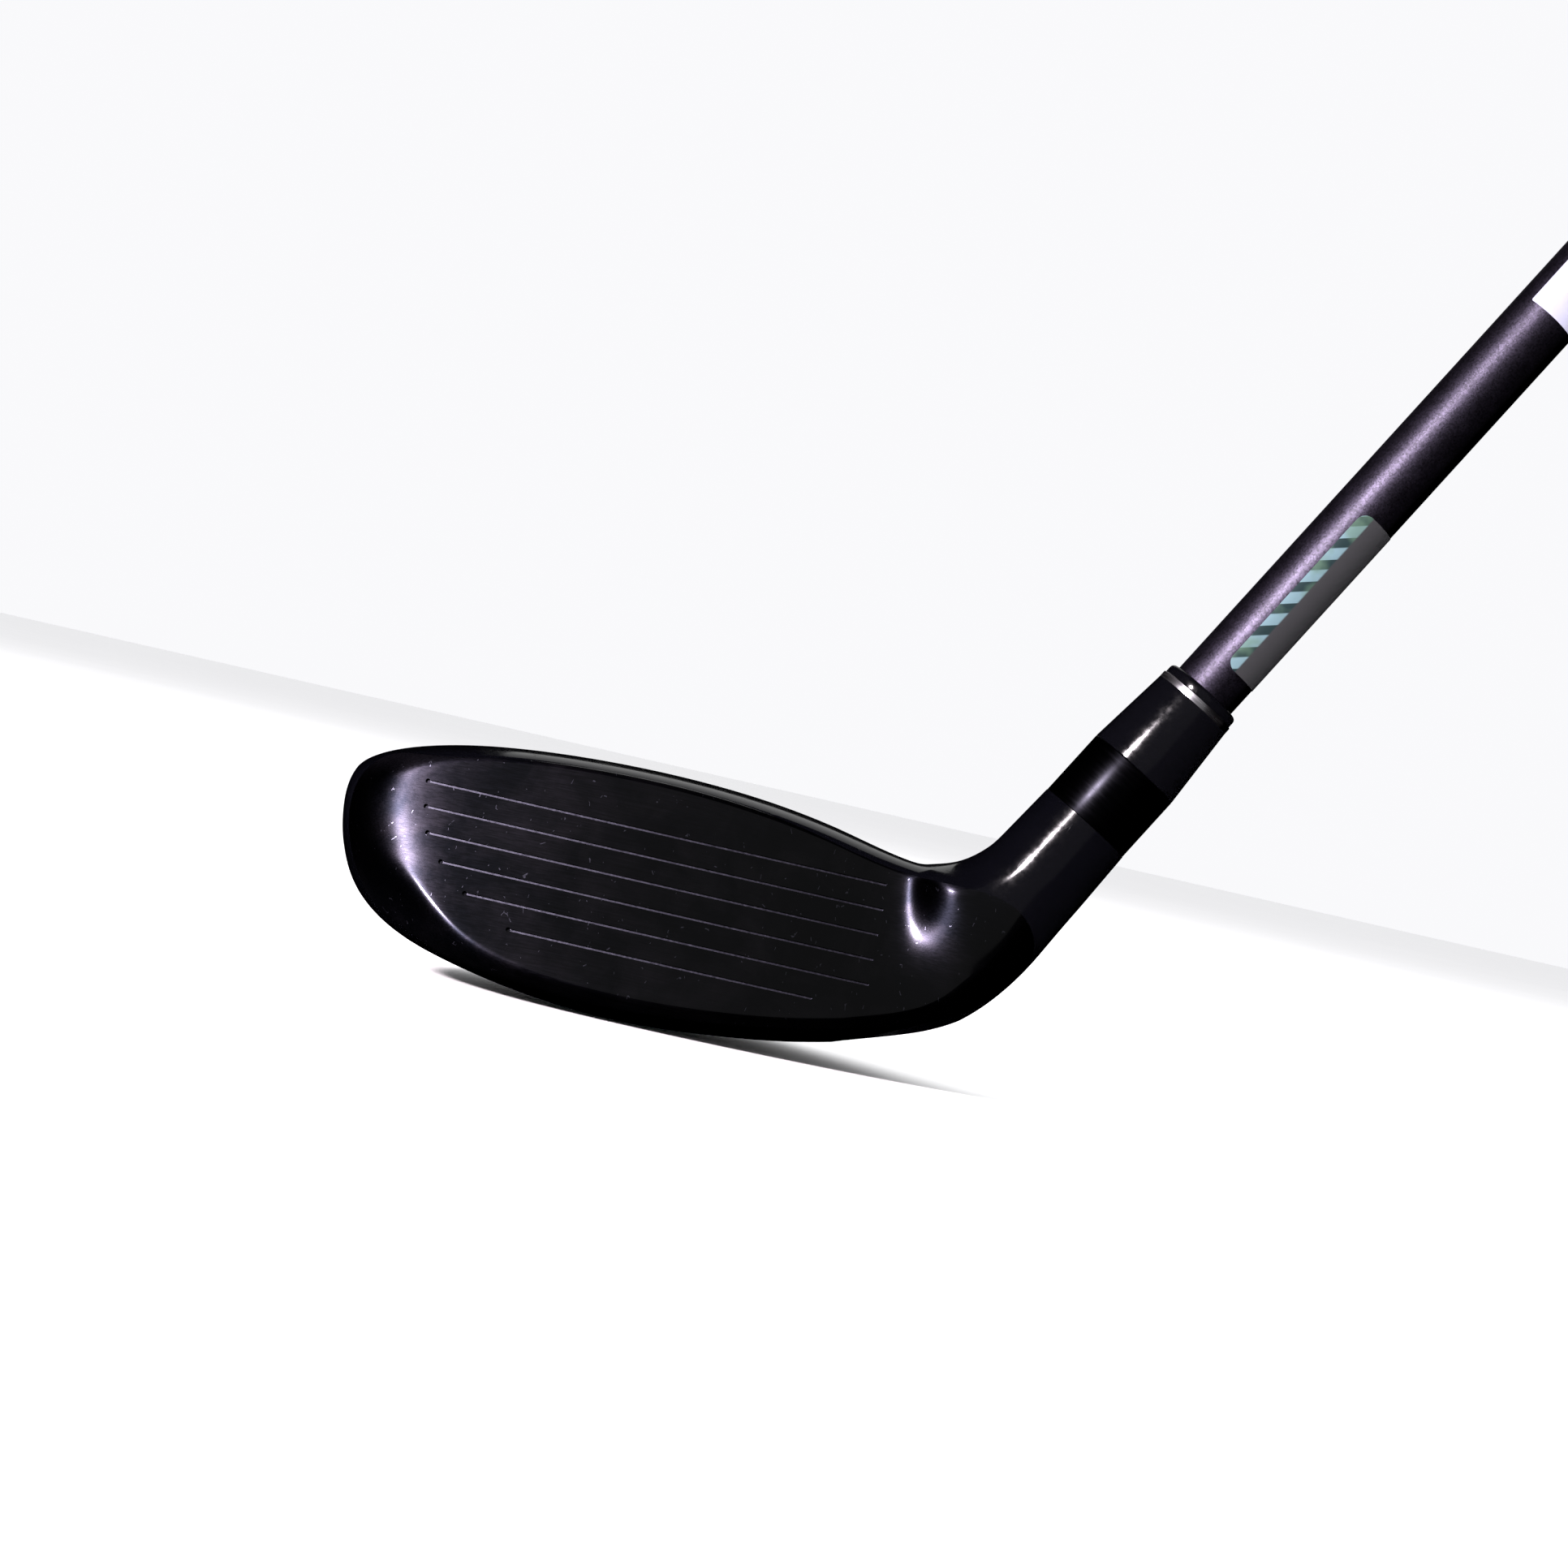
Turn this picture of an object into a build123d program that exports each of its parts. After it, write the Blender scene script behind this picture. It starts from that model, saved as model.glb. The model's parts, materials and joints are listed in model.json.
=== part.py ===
from build123d import *
import os
from math import cos, radians, sin, tan

os.makedirs("parts", exist_ok=True)

# ---------------------------------------------------------------- driving dimensions, mm and degrees
# The club stands at address: +Z up, +X from toe to heel, -Y towards the target.  The origin is the
# lowest point of the sole, and the shaft's axis lies in the plane Y = 0.
lie = 60.5                  # shaft axis above the ground
face_loft = 20.0            # face leaning back from the vertical
club_length = 1016.0        # from the ground to the end of the grip, along the shaft
axis_x = 33.5               # where the shaft's axis meets the ground

# head form
head_height = 34.4          # crown above the ground
head_depth = 48.0           # trailing edge behind the shaft's axis
toe_reach = 43.7            # toe end from the sole's lowest point
face_lead = 12.5            # leading edge ahead of the shaft's axis
face_foot = 4.6             # height where the flat of the face begins
bulge_radius = 280.0        # heel-to-toe curve of the face
heel_height = 30.1          # crown above the ground where the neck begins
crotch_radius = 12.6        # concave curve from the crown into the neck
neck_radius = 7.25          # neck where it leaves the head
neck_top_radius = 6.95
neck_overlap = 1.0          # how far the straight neck runs into the head's form

# walls and seams
face_wall = 2.0
neck_skin = 1.1             # face cup where it lies on the neck
crown_wall = 0.9
body_wall = 1.8
ledge = 3.5                 # shelf that carries the crown plate
crown_line = 16.0           # lowest height of the crown plate
cup_return = 6.0            # how far behind the shaft's axis the face cup ends
inlay_depth = 0.5
toe_badge_length = 15.0
toe_badge_width = 2.6
toe_badge_start = 7.0       # behind the shaft's axis
toe_badge_height = 22.6
weight_length = 30.0
weight_breadth = 26.0
weight_top = 7.0            # above the ground
weight_behind = 26.0        # centre of the weight behind the shaft's axis
cutter_margin = 10.0        # how far a cutter reaches past the head

# score lines
groove_pitch = 3.4          # measured straight up
groove_top = 26.3           # height of the highest one
groove_width = 0.5
groove_depth = 0.3
groove_end_radius = 0.4     # the round toe end of a score line
groove_ends = [(-32.4, 31.8), (-31.8, 32.1), (-30.7, 32.1), (-28.0, 32.2), (-23.8, 32.3), (-16.9, 25.2)]

# sleeve, screw and port; places are distances along the shaft's axis from the ground
neck_top = 46.5
bore_radius = 5.5
running_gap = 0.05
sleeve_foot = 24.4
web_low = 19.5              # the screw pulls against this web
web_thickness = 2.6
port_radius = 5.6
screw_radius = 2.5
screw_head_radius = 4.2
screw_head_length = 4.6
screw_length = 15.2         # under the head
screw_point = 0.5           # bevel of the screw's end
key_size = 3.9              # across the flats of the screw's socket
key_depth = 2.8
thread_pitch = 0.8
thread_depth = 0.35
washer_radius = 4.9
washer_thickness = 1.0
clip_thickness = 0.8
clip_radius = 3.6
clip_seat = 1.9             # radius of the screw's groove for the clip
clip_mouth = 3.0            # gap that the clip is pushed on through
tooth_count = 4
tooth_height = 2.0
tooth_width = 3.0
tooth_gap = 0.1
tooth_reach = 0.6           # how far the teeth stand out from the bore

# collars on the hosel
ring_length = 10.0
ring_radius = 6.9
flange_length = 3.0
ferrule_length = 11.8
ferrule_top_radius = 5.95
trim_length = 1.0
cap_length = 1.5
cap_radius = 5.75
cap_rounding = 0.6
glue_gap = 0.02

# shaft
tip_radius = 4.74
butt_radius = 7.6
tip_seat = 12.0             # the shaft's tip above the sleeve's foot
parallel_end = 150.0        # the tip section is parallel up to here, along the axis
shaft_wall = 1.4
plug_length = 8.0
label_start = 75.2
label_length = 28.0
label_wrap = 145.0
label_lead = 8.5            # degrees that it starts before the front of the shaft
decal_start = 139.8
decal_length = 120.0
decal_wrap = 200.0
decal_lead = 41.0
decal_thickness = 0.08

# grip
grip_length = 267.0
tape_thickness = 0.2
tape_margin = 3.0
grip_mouth_wall = 0.95
grip_end_wall = 4.4
end_cap_thickness = 4.0
end_cap_lip = 0.8
end_cap_rounding = 1.2
vent_radius = 1.6

# ---------------------------------------------------------------- the shaft's axis and derived places
up_shaft = Vector(cos(radians(lie)), 0, sin(radians(lie)))
across_shaft = Vector(sin(radians(lie)), 0, -cos(radians(lie)))
ground_point = Vector(axis_x, 0, 0)
shaft_axis = Axis(ground_point, up_shaft)
round_plane = Plane(origin=ground_point, x_dir=across_shaft, z_dir=up_shaft)

ring_top = neck_top + ring_length
ferrule_top = ring_top + ferrule_length
trim_top = ferrule_top + trim_length
collar_top = trim_top + cap_length
web_top = web_low + web_thickness
head_seat = web_low - washer_thickness
shaft_tip = sleeve_foot + tip_seat
shaft_end = club_length - end_cap_thickness
grip_mouth = club_length - grip_length
sleeve_radius = bore_radius - running_gap
flange_radius = bore_radius + tooth_reach

# centre of the concave curve between crown and neck: the head's sections turn about it
turn_z = heel_height + crotch_radius
turn_x = axis_x + turn_z / tan(radians(lie)) - (crotch_radius + neck_radius) / sin(radians(lie))
turn_height = (turn_x - axis_x) * up_shaft.X + turn_z * up_shaft.Z

# ---------------------------------------------------------------- sections of the head
# From the toe: x as a share of the toe's reach; heights of sole, crown, face foot and face top;
# tail as a share of the depth; setback of the face; rounding off towards an ellipse.
toe_sections = [
    (-1.000, 19.8, 24.6, 21.0, 23.5, 0.31, 8.2, 1.0),
    (-0.982, 16.4, 26.2, 19.5, 24.0, 0.42, 5.5, 1.0),
    (-0.942, 12.0, 27.9, 18.0, 25.3, 0.54, 3.1, 0.75),
    (-0.860, 7.9, 29.7, 17.0, 27.4, 0.67, 1.0, 0.35),
    (-0.744, 5.0, 31.3, 14.5, 28.9, 0.78, 0.2, 0.1),
    (-0.558, 2.6, 32.9, 8.8, 30.7, 0.90, 0.0, 0.0),
    (-0.279, 0.6, 34.1, 5.2, 32.1, 0.98, 0.0, 0.0),
]
# The same, with x in mm.
heel_sections = [
    (2.0, 0.0, 34.4, 4.6, 32.4, 1.00, 0.0, 0.0),
    (14.0, 0.9, 33.7, 5.4, 31.5, 0.95, 0.0, 0.0),
    (24.0, 2.4, 32.2, 6.9, 29.9, 0.84, 0.0, 0.0),
    (30.5, 3.9, 30.8, 8.4, 28.5, 0.71, 0.0, 0.0),
]
# Sections that turn towards the shaft: share of the turn; sole from the turning centre; tail as a
# share of the depth; rounding off; how far the face has swung forward to the neck.
turn_sections = [
    (0.00, 37.6, 0.59, 0.04, 0.15),
    (0.20, 35.5, 0.45, 0.20, 0.65),
    (0.41, 32.7, 0.33, 0.50, 1.00),
    (0.63, 29.7, 0.24, 0.80, 1.00),
    (0.83, 27.7, 0.18, 0.95, 1.00),
]
section_height = 34.4       # crown height that the rows above are written for


def face_y(x, z):
    """Where the face's surface lies at a place across the club."""
    return -face_lead + (z - face_foot) * tan(radians(face_loft)) + x * x / (2 * bulge_radius)


def rounded(front, rear, low, high):
    """Five Bezier curves of an ellipse: face, brow, crown, tail and keel."""
    y, v = (front + rear) / 2, (low + high) / 2
    a, b = (rear - front) / 2, (high - low) / 2
    stops = [200, 160, 90, 0, -90, -160]
    curves = []
    for start, end in zip(stops, stops[1:]):
        reach = 4 / 3 * tan(radians(start - end) / 4)
        c0, s0 = cos(radians(start)), sin(radians(start))
        c1, s1 = cos(radians(end)), sin(radians(end))
        curves.append([
            (y + a * c0, v + b * s0),
            (y + a * (c0 + reach * s0), v + b * (s0 - reach * c0)),
            (y + a * (c1 - reach * s1), v + b * (s1 + reach * c1)),
            (y + a * c1, v + b * s1),
        ])
    return curves


def wedge(foot, brow, rear, low, high):
    """The same five curves for a head with a flat face, a low tail and a broad sole."""
    front = foot[0]
    apex = (front + 0.4 * (rear - front), high)
    keel = (front + 0.26 * (rear - front), low)
    tail = (rear, low + 0.36 * (high - low))
    rise = Vector(brow[0] - foot[0], brow[1] - foot[1])
    slope = rise.normalized()
    top_roll = 0.85 * (high - brow[1])
    foot_roll = 0.55 * (foot[1] - low)
    tail_roll = 0.14 * (high - low)
    return [
        [foot, (foot[0] + rise.X / 3, foot[1] + rise.Y / 3),
         (foot[0] + rise.X * 2 / 3, foot[1] + rise.Y * 2 / 3), brow],
        [brow, (brow[0] + slope.X * top_roll, brow[1] + slope.Y * top_roll),
         (apex[0] - 0.55 * (apex[0] - brow[0]), high), apex],
        [apex, (apex[0] + 0.6 * (rear - apex[0]), high), (rear, tail[1] + tail_roll), tail],
        [tail, (rear, tail[1] - tail_roll), (keel[0] + 0.62 * (rear - keel[0]), low), keel],
        [keel, (keel[0] - 0.6 * (keel[0] - front), low),
         (foot[0] - slope.X * foot_roll, foot[1] - slope.Y * foot_roll), foot],
    ]


def blended(first, second, share):
    return [[tuple(p + (q - p) * share for p, q in zip(a, b)) for a, b in zip(c, d)]
            for c, d in zip(first, second)]


def turned_plane(angle):
    """Section plane that stands at an angle about the turning centre."""
    return Plane(origin=(turn_x, 0, turn_z), x_dir=(0, 1, 0), z_dir=(cos(angle), 0, sin(angle)))


def stations(face_skin, wall, neck_wall, toe_wall):
    """(plane, curves) of each section of the head, moved in by the given walls."""
    scale = head_height / section_height
    out = []
    rows = [(x * (toe_reach - toe_wall), *rest) for x, *rest in toe_sections] + heel_sections
    for x, low, high, foot, brow, tail, setback, share in rows:
        low, high = scale * low + wall, scale * high - wall
        foot, brow = max(scale * foot, low + 0.9), min(scale * brow, high - 0.7)
        skin = face_skin / cos(radians(face_loft)) + setback
        rear = tail * head_depth - wall
        feet = (face_y(x, foot) + skin, foot)
        brows = (face_y(x, brow) + skin, brow)
        flat = wedge(feet, brows, rear, low, high)
        shape = blended(flat, rounded(feet[0], rear, low, high), share)
        out.append((Plane(origin=(x, 0, 0), x_dir=(0, 1, 0), z_dir=(1, 0, 0)), shape))
    for turn, below, tail, share, swing in turn_sections:
        angle = radians(turn * lie)
        skin = face_skin + (neck_wall - face_skin) * turn
        inset = wall + (neck_wall - wall) * turn
        high, low = -crotch_radius - inset, -below + inset
        edges = []
        for v in (low + 0.17 * (high - low), high - 0.08 * (high - low)):
            front = face_y(turn_x - v * sin(angle), turn_z + v * cos(angle))
            edges.append((front + swing * (-neck_radius - front) + skin, v))
        rear = tail * head_depth - inset
        flat = wedge(edges[0], edges[1], rear, low, high)
        shape = blended(flat, rounded(-neck_radius + neck_wall, rear, low, high), share)
        out.append((turned_plane(angle), shape))
    radius = neck_radius - neck_wall
    centre = -crotch_radius - neck_radius
    shape = rounded(-radius, radius, centre - radius, centre + radius)
    out.append((turned_plane(radians(lie)), shape))
    return out


def head_form(face_skin, wall, neck_wall, toe_wall, first=0, last=None):
    """The head as one solid, or its inside when its surfaces are moved in by the walls."""
    sections = []
    for plane, curves in stations(face_skin, wall, neck_wall, toe_wall)[first:last]:
        with BuildLine(plane):
            ring = [Bezier(*curve) for curve in curves]
        sections.append(Face(Wire(ring, sequenced=True)))
    with BuildPart() as form:
        loft(sections=sections)
    return form.part


# ---------------------------------------------------------------- round pieces on the shaft's axis
def axial_at(angle):
    """Plane through the axis, turned about it from the heel side: local (radius, height)."""
    out = across_shaft * cos(radians(angle)) + Vector(0, 1, 0) * sin(radians(angle))
    return Plane(origin=ground_point, x_dir=out, z_dir=out.cross(up_shaft))


def turned(corners, start=0.0, wrap=360.0, mode=Mode.ADD):
    """Turns a profile of (radius, height) corners about the axis."""
    with BuildSketch(axial_at(start)) as profile:
        with BuildLine():
            Polyline(*corners, close=True)
        make_face()
    revolve(profile.sketch, axis=shaft_axis, revolution_arc=wrap, mode=mode)


def tube(inner, outer, low, high, mode=Mode.ADD):
    turned([(inner, low), (outer, low), (outer, high), (inner, high)], mode=mode)


def teeth(height, length, low, high, width, mode):
    """Lugs or notches in a ring about the axis, reaching down from a height."""
    with BuildSketch(round_plane.offset(height)) as ring:
        with PolarLocations(high / 2, tooth_count, start_angle=45):
            Rectangle(high, width)
        Circle(low, mode=Mode.SUBTRACT)
    extrude(ring.sketch, amount=-length, mode=mode)


def shaft_radius(height):
    """Outside of the shaft: a parallel tip, then a straight taper to the butt."""
    share = max(0.0, (height - parallel_end) / (shaft_end - parallel_end))
    return tip_radius + (butt_radius - tip_radius) * share


# ---------------------------------------------------------------- shapes that the head's pieces share
outer_form = head_form(0, 0, 0, 0)
cup_core = head_form(face_wall, body_wall, neck_skin, body_wall)
crown_core = head_form(crown_wall, crown_wall, crown_wall, crown_wall)
inlay_core = head_form(inlay_depth, inlay_depth, inlay_depth, inlay_depth)
groove_core = head_form(groove_depth, groove_depth, groove_depth, groove_depth)
cavity = head_form(0.3 * face_wall, body_wall, body_wall, body_wall, 2, len(toe_sections) + 3)

# The face cup's edge, seen from the front: heel, top line, toe, and then under the sole.
with BuildPart() as cup_prism:
    with BuildSketch(Plane.XZ.offset(-cup_return)):
        with BuildLine():
            edge = Spline(
                (38.3, 6.4), (43.4, 9.8), (48.7, 13.9), (51.9, 17.5), (53.3, 21.5), (50.4, 26.5),
                (44.0, 28.3), (34.6, 28.4), (20.0, 31.1), (4.0, 33.0), (-7.5, 33.0), (-23.0, 31.5),
                (-34.0, 29.6), (-38.9, 28.4), (-41.3, 25.6), (-42.0, 21.1), (-40.4, 14.6),
                (-36.8, 9.2), (-34.6, 7.2))
            Polyline(edge @ 1, (-33.0, 7.0), (-28.9, 5.2), (-23.4, 2.9), (-18.0, -6.0), (34.0, -6.0),
                     edge @ 0)
        make_face()
    extrude(amount=cup_return + face_lead + 2 * cutter_margin)

# The crown plate's edge, seen from above, behind the face cup.
crown_rim = [
    (31.0, 8.0), (29.5, 24.0), (23.5, 35.0), (13.5, 41.2), (2.0, 43.6), (-11.5, 42.6),
    (-23.5, 38.6), (-32.0, 31.5), (-36.5, 22.0), (-37.5, 8.0)]
crown_centre = Vector(-3.0, 18.0)


def crown_column(inset, front):
    """Everything above the crown line inside the plate's edge, moved in by an inset."""
    points = []
    for x, y in crown_rim:
        out = Vector(x, y) - crown_centre
        points.append(crown_centre + out * ((out.length - inset) / out.length))
    with BuildPart() as column:
        with BuildSketch(Plane.XY.offset(crown_line)) as plan:
            with BuildLine():
                rim = Spline(*points)
                Polyline(rim @ 1, (points[-1].X, front), (points[0].X, front), rim @ 0)
            make_face()
        extrude(plan.sketch, amount=head_height)
    return column.part


with BuildPart() as crown_prism:
    add(crown_column(0, -head_depth))
    add(cup_prism.part, mode=Mode.SUBTRACT)
crown_opening = crown_column(ledge, cup_return + face_wall)

with BuildPart() as sole_badge_prism:
    with BuildSketch(Plane.XY.offset(-cutter_margin)):
        with BuildLine():
            Spline((-35.5, 13.0), (-34.5, 2.0), (-28.0, -6.0), (-18.0, -9.0))
            Spline((-18.0, -9.0), (-24.0, 1.0), (-28.5, 7.5), (-35.5, 13.0))
        make_face()
    extrude(amount=cutter_margin + crown_line)
    add(cup_prism.part, mode=Mode.SUBTRACT)
    add(inlay_core, mode=Mode.SUBTRACT)
with BuildPart() as toe_badge_prism:
    with BuildSketch(Plane.YZ.offset(-toe_reach - cutter_margin)):
        with Locations((toe_badge_start + toe_badge_length / 2, toe_badge_height)):
            SlotOverall(toe_badge_length, toe_badge_width)
    extrude(amount=2 * cutter_margin)
    add(cup_prism.part, mode=Mode.SUBTRACT)
    add(inlay_core, mode=Mode.SUBTRACT)

with BuildPart() as groove_prism:
    with BuildSketch(Plane.XZ):
        for number, (start, end) in enumerate(groove_ends):
            height = groove_top - number * groove_pitch
            with Locations(((start + end) / 2, height)):
                SlotOverall(end - start, groove_width)
            with Locations((start + groove_width / 2, height)):
                Circle(groove_end_radius)
    extrude(amount=face_lead + 2 * cutter_margin)
    with BuildSketch(Plane.XZ.offset(-cutter_margin)):
        for number, (start, end) in enumerate(groove_ends):
            with Locations(((start + end) / 2, groove_top - number * groove_pitch)):
                SlotOverall(end - start, groove_width)
    extrude(amount=cutter_margin)
    add(groove_core, mode=Mode.SUBTRACT)

with BuildPart() as hosel_bores:
    clear_radius = screw_radius + running_gap
    turned([(0, -cutter_margin), (port_radius, -cutter_margin), (port_radius, web_low),
            (clear_radius, web_low), (clear_radius, web_top), (bore_radius, web_top),
            (bore_radius, neck_top), (0, neck_top)])

# ---------------------------------------------------------------- head
with BuildPart() as face_cup:
    add(cup_prism.part)
    add(cup_core, mode=Mode.SUBTRACT)
    add(outer_form, mode=Mode.INTERSECT)
    add(groove_prism.part, mode=Mode.SUBTRACT)
    add(hosel_bores.part, mode=Mode.SUBTRACT)
face_cup.part.label = "face_cup"
export_step(face_cup.part, "parts/face_cup.step")

with BuildPart() as crown:
    add(crown_prism.part)
    add(crown_core, mode=Mode.SUBTRACT)
    add(outer_form, mode=Mode.INTERSECT)
crown.part.label = "crown"
export_step(crown.part, "parts/crown.step")

with BuildPart() as sole_badge:
    add(sole_badge_prism.part)
    add(outer_form, mode=Mode.INTERSECT)
sole_badge.part.label = "sole_badge"
export_step(sole_badge.part, "parts/sole_badge.step")

with BuildPart() as toe_badge:
    add(toe_badge_prism.part)
    add(outer_form, mode=Mode.INTERSECT)
toe_badge.part.label = "toe_badge"
export_step(toe_badge.part, "parts/toe_badge.step")

with BuildPart() as sole_weight:
    with Locations((0, weight_behind, 0)):
        Box(weight_length, weight_breadth, 2 * weight_top)
    add(cavity, mode=Mode.INTERSECT)
sole_weight.part.label = "sole_weight"
export_step(sole_weight.part, "parts/sole_weight.step")

with BuildPart() as cup_pocket:
    add(cup_prism.part)
    add(cup_core, mode=Mode.SUBTRACT)
with BuildPart() as crown_pocket:
    add(crown_prism.part)
    add(crown_core, mode=Mode.SUBTRACT)
with BuildPart() as casting:
    add(outer_form)
    add(cavity, mode=Mode.SUBTRACT)
    add(cup_pocket.part, mode=Mode.SUBTRACT)
    add(crown_pocket.part, mode=Mode.SUBTRACT)
    add(crown_opening, mode=Mode.SUBTRACT)
    add(sole_badge_prism.part, mode=Mode.SUBTRACT)
    add(toe_badge_prism.part, mode=Mode.SUBTRACT)
    add(hosel_bores.part, mode=Mode.SUBTRACT)
with BuildPart() as neck:
    turned([(bore_radius, turn_height - neck_overlap), (neck_radius - running_gap, turn_height),
            (neck_top_radius, neck_top), (bore_radius, neck_top)])
    teeth(neck_top, tooth_height + tooth_gap, bore_radius - tooth_gap, flange_radius + tooth_gap,
          tooth_width + 2 * tooth_gap, Mode.SUBTRACT)
with BuildPart() as head_body:
    add(casting.part.solids().sort_by(SortBy.VOLUME)[-1])  # without the slivers left at the seams
    add(neck.part)
head_body.part.label = "head_body"
export_step(head_body.part, "parts/head_body.step")

# ---------------------------------------------------------------- adjustable hosel
with BuildPart() as loft_ring:
    tube(bore_radius, ring_radius, neck_top, ring_top)
    teeth(neck_top, tooth_height, bore_radius, flange_radius, tooth_width, Mode.ADD)
    teeth(ring_top, tooth_height + tooth_gap, bore_radius - tooth_gap, flange_radius + tooth_gap,
          tooth_width + 2 * tooth_gap, Mode.SUBTRACT)
loft_ring.part.label = "loft_ring"
export_step(loft_ring.part, "parts/loft_ring.step")

with BuildPart() as adapter_sleeve:
    turned([
        (clear_radius, sleeve_foot), (sleeve_radius, sleeve_foot),
        (sleeve_radius, ring_top), (flange_radius, ring_top), (flange_radius, ring_top + flange_length),
        (tip_radius + glue_gap, ring_top + flange_length), (tip_radius + glue_gap, shaft_tip),
        (clear_radius, shaft_tip)])
    teeth(ring_top, tooth_height, sleeve_radius - running_gap, flange_radius, tooth_width, Mode.ADD)
adapter_sleeve.part.label = "adapter_sleeve"
export_step(adapter_sleeve.part, "parts/adapter_sleeve.step")

with BuildPart() as ferrule:
    collar_bore = tip_radius + glue_gap
    turned([
        (flange_radius + glue_gap, ring_top), (ring_radius, ring_top), (ferrule_top_radius, ferrule_top),
        (collar_bore, ferrule_top), (collar_bore, ring_top + flange_length),
        (flange_radius + glue_gap, ring_top + flange_length)])
ferrule.part.label = "ferrule"
export_step(ferrule.part, "parts/ferrule.step")

with BuildPart() as ferrule_trim:
    tube(collar_bore, ferrule_top_radius, ferrule_top, trim_top)
ferrule_trim.part.label = "ferrule_trim"
export_step(ferrule_trim.part, "parts/ferrule_trim.step")

with BuildPart() as ferrule_cap:
    tube(collar_bore, cap_radius, trim_top, collar_top)
    fillet(ferrule_cap.edges().filter_by(GeomType.CIRCLE).sort_by(shaft_axis)[-2:].sort_by(
        lambda e: e.radius)[-1], cap_rounding)
ferrule_cap.part.label = "ferrule_cap"
export_step(ferrule_cap.part, "parts/ferrule_cap.step")

with BuildPart() as hosel_screw:
    head_foot = head_seat - screw_head_length
    thread_top = head_seat + screw_length
    clip_low = web_top + running_gap
    clip_high = clip_low + clip_thickness
    profile = [(0, head_foot), (screw_head_radius, head_foot), (screw_head_radius, head_seat),
               (screw_radius, head_seat), (screw_radius, clip_low), (clip_seat, clip_low),
               (clip_seat, clip_high), (screw_radius, clip_high)]
    turns = int((thread_top - sleeve_foot) / thread_pitch)
    for turn in range(turns):
        valley = sleeve_foot + (turn + 0.5) * thread_pitch
        profile += [(screw_radius, valley - 0.4 * thread_pitch), (screw_radius - thread_depth, valley),
                    (screw_radius, valley + 0.4 * thread_pitch)]
    profile += [(screw_radius, thread_top - screw_point), (screw_radius - screw_point, thread_top),
                (0, thread_top)]
    turned(profile)
    with BuildSketch(round_plane.offset(head_foot)):
        RegularPolygon(key_size / 2, 6, major_radius=False)
    extrude(amount=key_depth, mode=Mode.SUBTRACT)
hosel_screw.part.label = "hosel_screw"
export_step(hosel_screw.part, "parts/hosel_screw.step")

with BuildPart() as screw_washer:
    tube(clear_radius, washer_radius, head_seat, web_low)
screw_washer.part.label = "screw_washer"
export_step(screw_washer.part, "parts/screw_washer.step")

with BuildPart() as screw_retainer:
    tube(clip_seat, clip_radius, clip_low, clip_high)
    with BuildSketch(round_plane.offset(clip_low)):
        with Locations((clip_radius, 0)):
            Rectangle(2 * clip_radius, clip_mouth)
    extrude(amount=clip_thickness, mode=Mode.SUBTRACT)
screw_retainer.part.label = "screw_retainer"
export_step(screw_retainer.part, "parts/screw_retainer.step")

# ---------------------------------------------------------------- shaft
with BuildPart() as shaft:
    turned([
        (tip_radius - shaft_wall, shaft_tip), (tip_radius, shaft_tip), (tip_radius, parallel_end),
        (butt_radius, shaft_end), (butt_radius - shaft_wall, shaft_end),
        (tip_radius - shaft_wall, parallel_end)])
shaft.part.label = "shaft"
export_step(shaft.part, "parts/shaft.step")

with BuildPart() as tip_plug:
    turned([(0, shaft_tip), (tip_radius - shaft_wall - glue_gap, shaft_tip),
            (tip_radius - shaft_wall - glue_gap, shaft_tip + plug_length), (0, shaft_tip + plug_length)])
tip_plug.part.label = "tip_plug"
export_step(tip_plug.part, "parts/tip_plug.step")


def wrapped(start, length, angle, wrap):
    """A thin printed film on the shaft."""
    skin = tip_radius + decal_thickness
    turned([(tip_radius, start), (skin, start), (skin, start + length), (tip_radius, start + length)],
           start=angle, wrap=wrap)


with BuildPart() as shaft_label:
    wrapped(label_start, label_length, -90 - label_lead, label_wrap)
shaft_label.part.label = "shaft_label"
export_step(shaft_label.part, "parts/shaft_label.step")

with BuildPart() as shaft_decal:
    wrapped(decal_start, parallel_end - decal_start, -90 - decal_lead, decal_wrap)
    low, high = parallel_end, decal_start + decal_length
    turned([(shaft_radius(low), low), (shaft_radius(low) + decal_thickness, low),
            (shaft_radius(high) + decal_thickness, high), (shaft_radius(high), high)],
           start=-90 - decal_lead, wrap=decal_wrap)
shaft_decal.part.label = "shaft_decal"
export_step(shaft_decal.part, "parts/shaft_decal.step")

# ---------------------------------------------------------------- grip
tape_low, tape_high = grip_mouth + tape_margin, shaft_end
with BuildPart() as grip_tape:
    turned([(shaft_radius(tape_low), tape_low), (shaft_radius(tape_low) + tape_thickness, tape_low),
            (shaft_radius(tape_high) + tape_thickness, tape_high), (shaft_radius(tape_high), tape_high)])
grip_tape.part.label = "grip_tape"
export_step(grip_tape.part, "parts/grip_tape.step")

grip_end_radius = butt_radius + tape_thickness + grip_end_wall
with BuildPart() as grip:
    turned([
        (shaft_radius(grip_mouth), grip_mouth),
        (shaft_radius(grip_mouth) + tape_thickness + grip_mouth_wall, grip_mouth),
        (grip_end_radius, shaft_end), (butt_radius + tape_thickness, shaft_end),
        (shaft_radius(tape_low) + tape_thickness, tape_low), (shaft_radius(tape_low), tape_low)])
grip.part.label = "grip"
export_step(grip.part, "parts/grip.step")

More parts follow.
